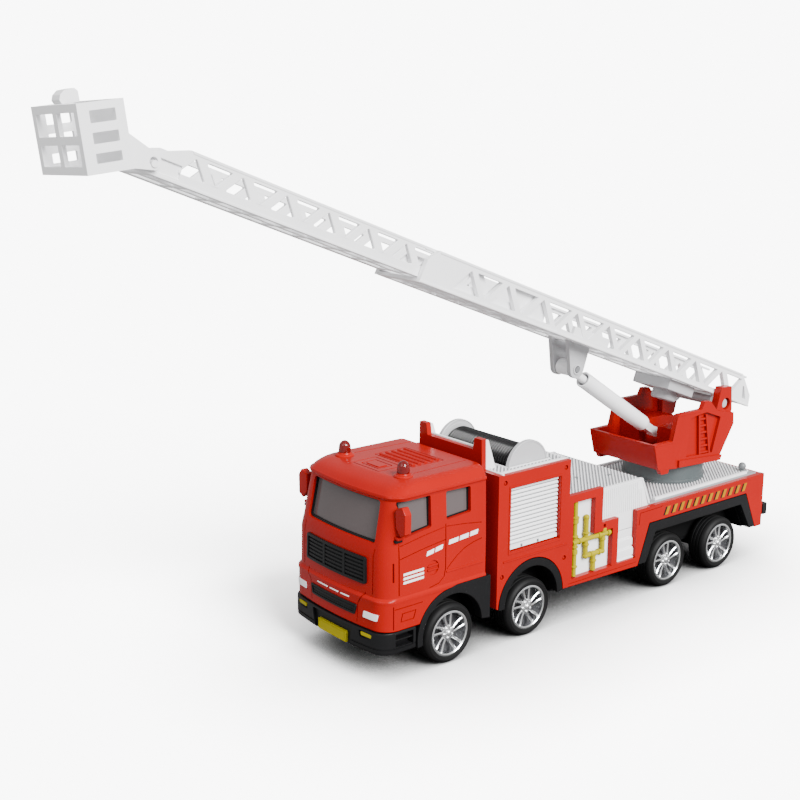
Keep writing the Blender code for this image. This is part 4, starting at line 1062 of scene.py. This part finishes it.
def make_rear():
    """Rear bumper with its tow eye, the ball knob and the plinth."""
    bm = bmesh.new()
    beam = ((-25.2, 167.7), (25.2, 167.7), (25.2, 170.2), (24.2, 170.9), (-24.2, 170.9), (-25.2, 170.2))
    prism(bm, "XY", rounded(beam, 0.4), (17.0, 21.4))
    for side, _ in SIDES:
        block(bm, sided(side, 11.0, 14.0), (166.0, 168.0), (15.0, 20.0))
    block(bm, (-2.4, 2.4), (166.6, 170.6), (15.2, 16.4))
    piece("bumper_rear", bm, "truck", BLACK, stands_for=["rear_bumper"], bevel=0.25)
    bm = bmesh.new()
    profile = [(0.0, 35.1), (1.3, 35.1), (1.3, 35.6), (0.8, 35.8), (0.75, 36.0)]
    profile += [(1.6 * math.cos(a), 37.2 + 1.6 * math.sin(a)) for a in (-0.85, -0.4, 0.0, 0.4, 0.8, 1.2)]
    turned(bm, profile + [(0.0, 38.8)], (18.6, 161.0, 0.0), "Z", 28)
    piece("deck_knob", bm, "truck", GREY, stands_for=["rear_knob"])
    bm = bmesh.new()
    turned(bm, ((2.6, 35.1), (16.2, 35.1), (16.2, 36.2), (15.9, 36.5), (15.6, 41.6), (15.3, 42.1),
                (2.6, 42.1)), TURNTABLE, "Z", 64)
    piece("turntable_plinth", bm, "truck", PLINTH, stands_for=["turntable_base"])


def make_underside():
    """Ribs, and the battery cover with four bars across it, under the chassis plate."""
    bm = bmesh.new()
    for x in (-12.6, -6.3, 6.3, 12.6):
        block(bm, (x - 0.4, x + 0.4), (42.0, 104.0), (10.4, 11.8))
    for y in (44.0, 58.0, 90.0, 103.0, 120.0, 150.0):
        block(bm, (-13.0, 13.0), (y - 0.4, y + 0.4), (10.4, 11.8))
    prism(bm, "XY", rounded(box_outline(-9.5, 9.5, 62.0, 86.0), 1.5), (10.2, 11.8))
    for y in (66.0, 69.0, 72.0, 75.0):
        block(bm, (-6.0, 6.0), (y, y + 1.0), (9.9, 10.5))
    piece("chassis_ribs", bm, "truck", BLACK, bevel=0.12)


# ---------------------------------------------------------------- turret
TUB_WALL = [(111.2, 44.1), (108.5, 54.2), (119.2, 54.2), (121.6, 64.3), (135.8, 64.2), (137.3, 66.9),
            (141.0, 66.7), (145.4, 62.2), (155.9, 60.0), (156.3, 55.4), (147.9, 42.5), (121.5, 42.9)]
TUB_FLOOR = [(108.6, 54.1), (111.2, 44.2), (121.5, 43.0), (147.8, 42.6), (146.6, 44.6), (113.6, 45.6),
             (111.1, 53.2), (109.8, 54.1)]
TUB_SHELF = [(124.0, 44.0), (124.0, 57.0), (138.0, 57.4), (146.4, 56.0), (146.4, 44.0)]
TUB_POST = [(147.2, 50.0), (146.6, 62.0), (149.2, 70.8), (155.4, 70.4), (156.4, 61.0), (154.6, 54.6)]
TUB_RAIL = [(122.5, 46.0), (148.8, 43.9), (147.9, 41.9), (122.5, 43.3)]
TUB_FOOT = [(111.9, 44.5), (118.0, 43.9), (117.2, 41.8), (113.4, 41.9)]
TUB_NICHE = [(129.4, 61.6), (134.4, 62.4), (138.8, 62.6), (147.6, 59.4), (143.4, 45.6), (127.6, 46.4)]


def make_turret():
    """Open tub with the ladder's posts, niches, skid rails and its moulded side ladders."""
    bm = bmesh.new()
    prism(bm, "YZ", TUB_FLOOR, (-14.8, 14.8))
    for side, _ in SIDES:
        prism(bm, "YZ", TUB_WALL, sided(side, 14.6, 15.4))
        prism(bm, "YZ", TUB_WALL, sided(side, 15.35, 16.6), [TUB_NICHE])
        prism(bm, "YZ", TUB_SHELF, sided(side, 4.6, 14.9))
        prism(bm, "YZ", TUB_POST, sided(side, 12.1, 15.2), [circle(POST_EYE, 2.4, 28)])
        prism(bm, "YZ", TUB_RAIL, sided(side, 16.2, 17.5))
        prism(bm, "YZ", TUB_FOOT, sided(side, 14.7, 16.55))
    hole = bmesh.new()
    screw_hole(hole, 30.0, 60.0)
    piece("turret_body", bm, "turret", RED, stands_for=["turret_tub"], cuts=[hole], bevel=0.22)

    bm = bmesh.new()
    for side, _ in SIDES:
        near, far = ((134.6, 61.9), (136.1, 44.9)), ((138.9, 61.7), (142.2, 44.6))
        for rail in (near, far):
            prism(bm, "YZ", ribbon(rail, 1.0), sided(side, 15.3, 16.5))
        for rung in range(6):
            t = (rung + 0.6) / 6.2
            ends = [Vector(rail[0]).lerp(Vector(rail[1]), t) for rail in (near, far)]
            prism(bm, "YZ", ribbon(ends, 0.8), sided(side, 15.3, 16.25))
        prism(bm, "YZ", ribbon([(109.4, 53.7), (119.0, 53.7), (121.8, 63.7), (135.3, 63.6)], 0.5),
              sided(side, 16.5, 16.75))
    piece("turret_mouldings", bm, "turret", RED, bevel=0.1)


# ---------------------------------------------------------------- ladder
def truss(start, end, low, high, bays, half_web, chords=(2.1, 2.1)):
    """Triangular holes of a side plate, point up and point down in turn."""
    pitch = (end - start) / bays
    reach = 0.5 * pitch - 2.0 * half_web
    base, top = low + chords[0], high - chords[1]
    holes = []
    for bay in range(bays):
        for flat, point, shift in ((base, top, 0.0), (top, base, 0.5)):
            if shift and bay == bays - 1:
                continue
            centre = start + (bay + 0.5 + shift) * pitch
            corners = [(reach - centre, flat), (-reach - centre, flat), (-centre, point)]
            holes.append(rounded(corners, 0.3, 2))
    return holes


def lattice(start, end, half, bays, spine=1.1, rung=1.6):
    """Holes of a ladder's floor: two rows of openings between the rungs."""
    pitch = (end - start) / bays
    holes = []
    for i in range(bays):
        near, far = -(start + i * pitch + rung), -(start + (i + 1) * pitch)
        for side, _ in SIDES:
            holes.append([(side * spine, near), (side * half, near), (side * half, far), (side * spine, far)])
    return holes


def make_ladder():
    """Outer section with its trussed sides, rims, ears for the lift rod and drive housing."""
    side_plate = [(-168.3, 2.4), (-167.3, 10.1), (-163.3, 14.1), (10.6, 14.1), (19.0, 7.0), (20.0, 2.4)]
    lug = [(6.0, 3.4), (-6.0, 3.4)] + arc((0.0, 0.0), 3.6, 160, 380, 20)
    ear = [(-87.5, 2.8), (-75.5, 2.8), (-75.3, -6.0)] + arc(EAR_EYE, 3.4, 0, -150, 12)
    holes = truss(-5.6, 156.85, 2.4, 14.1, 9, half_web=1.4)
    holes.append([(0.0, 12.0), (11.0, 12.0), (5.6, 4.9)])
    holes.append([(12.6, 9.6), (13.6, 9.6), (16.6, 4.9), (14.2, 4.9)])
    bm = bmesh.new()
    for side, _ in SIDES:
        prism(bm, "YZ", side_plate, sided(side, 9.7, 11.5), holes)
        prism(bm, "YZ", lug, sided(side, 9.8, 11.8), [circle((0.0, 0.0), 2.2, 28)])
    prism(bm, "XY", box_outline(-9.9, 9.9, -168.1, 18.0), (2.5, 3.6), lattice(4.0, 164.3, 8.1, 14))
    piece("ladder_outer", bm, "ladder", WHITE, LADDER, stands_for=["ladder_base"], bevel=0.16,
          segments=1)
    bm = bmesh.new()
    for side, _ in SIDES:
        for rim in ([(-163.0, 13.95), (-163.0, 13.25), (10.4, 13.25), (10.4, 13.95)],
                    [(-168.0, 2.5), (-167.9, 3.2), (19.7, 3.2), (19.8, 2.5)]):
            prism(bm, "YZ", rim, sided(side, 11.4, 11.75))
        block(bm, sided(side, 9.9, 11.3), (-92.6, -73.0), (3.4, 7.4))
        block(bm, sided(side, 9.9, 11.3), (-165.6, -157.0), (3.4, 7.0))
        block(bm, sided(side, 8.8, 9.8), (-168.0, 16.0), (13.2, 14.0))
    for u in (30.0, 66.0, 104.0, 140.0):
        block(bm, (-9.8, 9.8), (-u - 0.6, -u + 0.6), (2.3, 2.9))
    piece("ladder_rims", bm, "ladder", WHITE, LADDER, bevel=0.12)
    bm = bmesh.new()
    for side, _ in SIDES:
        prism(bm, "YZ", ear, sided(side, 3.4, 5.2), [circle(EAR_EYE, 1.4, 20)])
        prism(bm, "YZ", circle(EAR_EYE, 2.0, 24), sided(side, 5.1, 5.5), [circle(EAR_EYE, 1.3, 24)])
    # white ears painted pale grey: painted shade under the ladder
    piece("ladder_ears", bm, "ladder", SHADED_WHITE, LADDER, bevel=0.2)
    bm = bmesh.new()
    block(bm, (-9.0, 9.0), (-30.0, -14.0), (-1.9, 2.2))
    turned(bm, ((0.0, -5.6), (4.4, -5.6), (4.9, -5.1), (4.9, -1.5), (0.0, -1.5)), (0.0, -20.0, 0.0), "Z", 48)
    block(bm, (-4.0, 4.0), (-14.2, -9.5), (-1.2, 2.2))
    # housing painted pale grey: painted shade under the ladder
    piece("ladder_drive_housing", bm, "ladder", SHADED_WHITE, LADDER, slot="plinth_grey",
          stands_for=["ladder_housing"], bevel=0.3)


def make_ladder_pin():
    """Hinge pin, set back a little in the posts' holes."""
    bm = bmesh.new()
    rod(bm, 1.9, (-14.3, 14.3), edge=0.3)
    # white pin painted pale grey: painted shade inside the posts
    piece("ladder_hinge_pin", bm, "turret", SHADED_WHITE, LADDER, stands_for=["ladder_pin"])


def make_extension():
    """Sliding section, with a recessed channel at its tip."""
    low, high = 3.9, 14.2
    side_plate = [(-272.0, low), (-271.4, 9.3), (-266.5, 10.9), (-257.7, high), (-107.0, high), (-107.0, low)]
    holes = truss(119.9, 263.45, low, high, 9, half_web=1.75, chords=(3.2, 1.7))
    eye = circle((-268.6, 6.8), 1.3, 20)
    tip = [(-271.0, 5.2), (-270.9, 9.1), (-259.0, 9.1), (-259.0, 5.4)]
    bm = bmesh.new()
    for side, _ in SIDES:
        prism(bm, "YZ", side_plate, sided(side, 7.9, 8.7), holes + [eye])
        prism(bm, "YZ", side_plate, sided(side, 8.65, 9.4), holes + [tip])
    openings = lattice(109.0, 266.0, 6.7, 13, spine=0.9)
    prism(bm, "XY", box_outline(-8.1, 8.1, -268.0, -107.2), (4.0, 5.0), openings)
    piece("ladder_inner", bm, "extension", WHITE, LADDER, stands_for=["ladder_extension"],
          bevel=0.15, segments=1)
    bm = bmesh.new()
    for side, _ in SIDES:
        for rim in ([(-257.4, 14.1), (-256.8, 13.4), (-107.2, 13.4), (-107.2, 14.1)],
                    [(-271.6, 4.0), (-271.5, 4.7), (-107.2, 4.7), (-107.2, 4.0)]):
            prism(bm, "YZ", rim, sided(side, 9.3, 9.6))
    piece("ladder_inner_rims", bm, "extension", WHITE, LADDER, bevel=0.1)


def make_lift():
    """Rod with its eye, and the open-mouthed barrel that slides on it."""
    bm = bmesh.new()
    prism(bm, "YZ", circle((0.0, 0.0), 2.9, 36), (-2.9, 2.9), [circle((0.0, 0.0), 1.4, 24)])
    rod(bm, 1.5, (2.2, 42.5), axis="Y", segments=28)
    turned(bm, ((0.0, 2.0), (2.1, 2.0), (2.1, 3.6), (1.6, 4.4), (0.0, 4.4)), axis="Y", segments=28)
    piece("lift_piston_rod", bm, "lift_rod", WHITE, LIFT, stands_for=["lift_rod"], bevel=0.15)
    bm = bmesh.new()
    turned(bm, ((0.0, 50.5), (1.9, 50.5), (1.9, 16.0), (2.45, 16.0), (2.45, 10.6), (2.9, 10.6),
                (3.1, 10.85), (3.1, 51.6), (2.9, 52.4), (2.2, 53.2), (0.0, 53.3)), axis="Y")
    tail = [(52.8, -1.4), (52.8, 1.4)] + arc((59.94, 0.0), 2.0, 135, -135, 20)
    prism(bm, "YZ", tail, (-1.6, 1.6))
    piece("lift_cylinder_barrel", bm, "lift_barrel", WHITE, LIFT, stands_for=["lift_barrel"],
          sharp=36.0)


def make_basket():
    """Open cage with four front windows and three slots a side, its hinge lugs and its work lamp."""
    rear, front, floor, top, half, wall = -7.2, -20.6, -0.8, 17.4, 13.8, 1.3
    bm = bmesh.new()
    hollow = box_outline(wall - half, half - wall, front + wall, rear - wall)
    prism(bm, "XY", box_outline(-half, half, front, rear), (floor, top), [hollow])
    cuts = bmesh.new()
    for x0, x1 in ((-11.6, -1.2), (1.2, 11.6)):
        for z0, z1 in ((1.4, 7.0), (9.2, 15.2)):
            prism(cuts, "XZ", rounded(box_outline(x0, x1, z0, z1), 0.3), (front - 2.0, front + 4.0))
    for z0, z1 in ((1.8, 4.4), (6.8, 9.7), (12.1, 15.3)):
        prism(cuts, "YZ", rounded(box_outline(-17.4, -10.0, z0, z1), 0.25), (-20.0, 20.0))
    base = bmesh.new()
    block(base, (0.2 - half, half - 0.2), (front + 0.2, rear - 0.2), (floor + 0.05, floor + 1.3))
    piece("basket_cage", bm, "basket", WHITE, BASKET, stands_for=["basket"], joins=[base],
          cuts=[cuts], bevel=0.18)
    bm = bmesh.new()
    lug = [(-7.5, -0.6), (-7.5, 9.6)] + arc((0.0, 0.0), 2.3, 50, -90, 18)
    for side, _ in SIDES:
        prism(bm, "YZ", lug, sided(side, 9.7, 11.4), [circle((0.0, 0.0), 1.3, 20)])
    for x in (-half + 0.05, half - 0.55):
        for y in (front + 0.1, rear - 0.7):
            block(bm, (x, x + 0.5), (y, y + 0.6), (floor + 0.3, top - 0.2))
    piece("basket_lugs", bm, "basket", WHITE, BASKET, bevel=0.15)
    bm = bmesh.new()
    lamp = [(-20.5, 18.5), (-20.0, 19.9), (-18.6, 21.0), (-15.8, 21.2), (-14.9, 20.4), (-14.8, 17.5),
            (-19.9, 17.5)]
    prism(bm, "YZ", rounded(lamp, 0.6), (-0.6, 4.4))
    piece("basket_work_lamp", bm, "basket", WHITE, BASKET, stands_for=["basket_lamp"], bevel=0.3)


def finish_carried_nodes():
    """Procedural materials on the CAD nodes that stay visible."""
    finishes = {"chassis": BLACK, "basket_pin": WHITE}
    steel = ["chassis_screw_front", "chassis_screw_rear", "turret_pivot", "lift_eye_pin"]
    for name in steel + [f"axle_{number}" for number in range(1, 5)]:
        finishes[name] = STEEL
    for name, material in finishes.items():
        for holder in bpy.data.objects[name].material_slots:
            holder.material = material


# ---------------------------------------------------------------- stage
def camera_switch(tree, plain, seen):
    """A number that differs between what the camera sees directly and what lights the object."""
    path = tree.nodes.new("ShaderNodeLightPath")
    switch = tree.nodes.new("ShaderNodeMapRange")
    switch.inputs["To Min"].default_value = plain
    switch.inputs["To Max"].default_value = seen
    link(tree, path.outputs["Is Camera Ray"], switch.inputs["Value"])
    return switch.outputs["Result"]


def floor_material():
    """White floor, brighter to the camera than it lights the toy, with a painted contact shadow that darkens
    it near the toy.
    """
    material = bpy.data.materials.new("floor_paper")
    material.use_nodes = True
    tree = material.node_tree
    tree.nodes.remove(tree.nodes["Principled BSDF"])
    paper = tree.nodes.new("ShaderNodeBsdfDiffuse")
    shade = tree.nodes.new("ShaderNodeCombineColor")
    open_floor = SKY + sum(power * Vector(toward).normalized().z for _, toward, power, _ in LIGHTS) / math.pi
    level = camera_switch(tree, BOUNCE, BACKDROP / open_floor)
    # ambient occlusion darkens the floor near the toy: a painted contact shadow
    painted_contact_shadow = tree.nodes.new("ShaderNodeAmbientOcclusion")
    painted_contact_shadow.samples = 8
    painted_contact_shadow.inputs["Distance"].default_value = 0.07
    deepen = tree.nodes.new("ShaderNodeMath")
    deepen.operation = "POWER"
    deepen.inputs[1].default_value = 1.8
    link(tree, painted_contact_shadow.outputs["AO"], deepen.inputs[0])
    darken = tree.nodes.new("ShaderNodeMath")
    darken.operation = "MULTIPLY"
    link(tree, level, darken.inputs[0])
    link(tree, deepen.outputs["Value"], darken.inputs[1])
    for channel in ("Red", "Green", "Blue"):
        link(tree, darken.outputs["Value"], shade.inputs[channel])
    link(tree, shade.outputs["Color"], paper.inputs["Color"])
    link(tree, paper.outputs["BSDF"], tree.nodes["Material Output"].inputs["Surface"])
    return material


def make_stage():
    """Pale floor, an even sky, a broad key from the left and a weak front light."""
    half, thickness = 9000.0, 20.0
    bm = bmesh.new()
    block(bm, (-half, half), (-half, half), (-thickness, 0.0))
    floor = to_object("floor", bm, TRUCK)
    floor.data.materials.append(floor_material())
    world = bpy.data.worlds.new("studio")
    bpy.context.scene.world = world
    world.use_nodes = True
    background = world.node_tree.nodes["Background"]
    background.inputs["Color"].default_value = (1.0, 1.0, 1.0, 1.0)
    link(world.node_tree, camera_switch(world.node_tree, SKY, BACKDROP), background.inputs["Strength"])
    for name, toward, power, spread in LIGHTS:
        light = bpy.data.lights.new(name, "SUN")
        light.energy = power
        light.angle = math.radians(spread)
        lamp = bpy.data.objects.new(name, light)
        lamp.rotation_mode = "QUATERNION"
        lamp.rotation_quaternion = Vector(toward).to_track_quat("Z", "Y")
        bpy.context.scene.collection.objects.link(lamp)


def make_camera():
    """Three-quarter view of the left front from a little above."""
    azimuth, elevation, roll = math.radians(50.852), math.radians(13.623), math.radians(0.2355)
    data = bpy.data.cameras.new("camera")
    data.lens = 59.69
    data.sensor_width = 36.0
    data.clip_start = 0.01
    camera = bpy.data.objects.new("camera", data)
    camera.location = (0.329956, -0.297850, 0.188559)
    camera.rotation_mode = "QUATERNION"
    back = Vector((math.sin(azimuth) * math.cos(elevation), -math.cos(azimuth) * math.cos(elevation),
                   math.sin(elevation)))
    turn = back.to_track_quat("Z", "Y")
    camera.rotation_quaternion = turn @ Matrix.Rotation(roll, 3, "Z").to_quaternion()
    bpy.context.scene.collection.objects.link(camera)
    bpy.context.scene.camera = camera


make_camera()
make_stage()
make_wheels()
make_cab()
make_windows()
make_front()
make_bumper()
make_beacons()
make_cab_prints()
make_arches()
make_body()
make_deck()
make_shutters()
make_pipes()
make_reel()
make_rear()
make_underside()
make_turret()
make_ladder()
make_ladder_pin()
make_extension()
make_lift()
make_basket()
finish_carried_nodes()
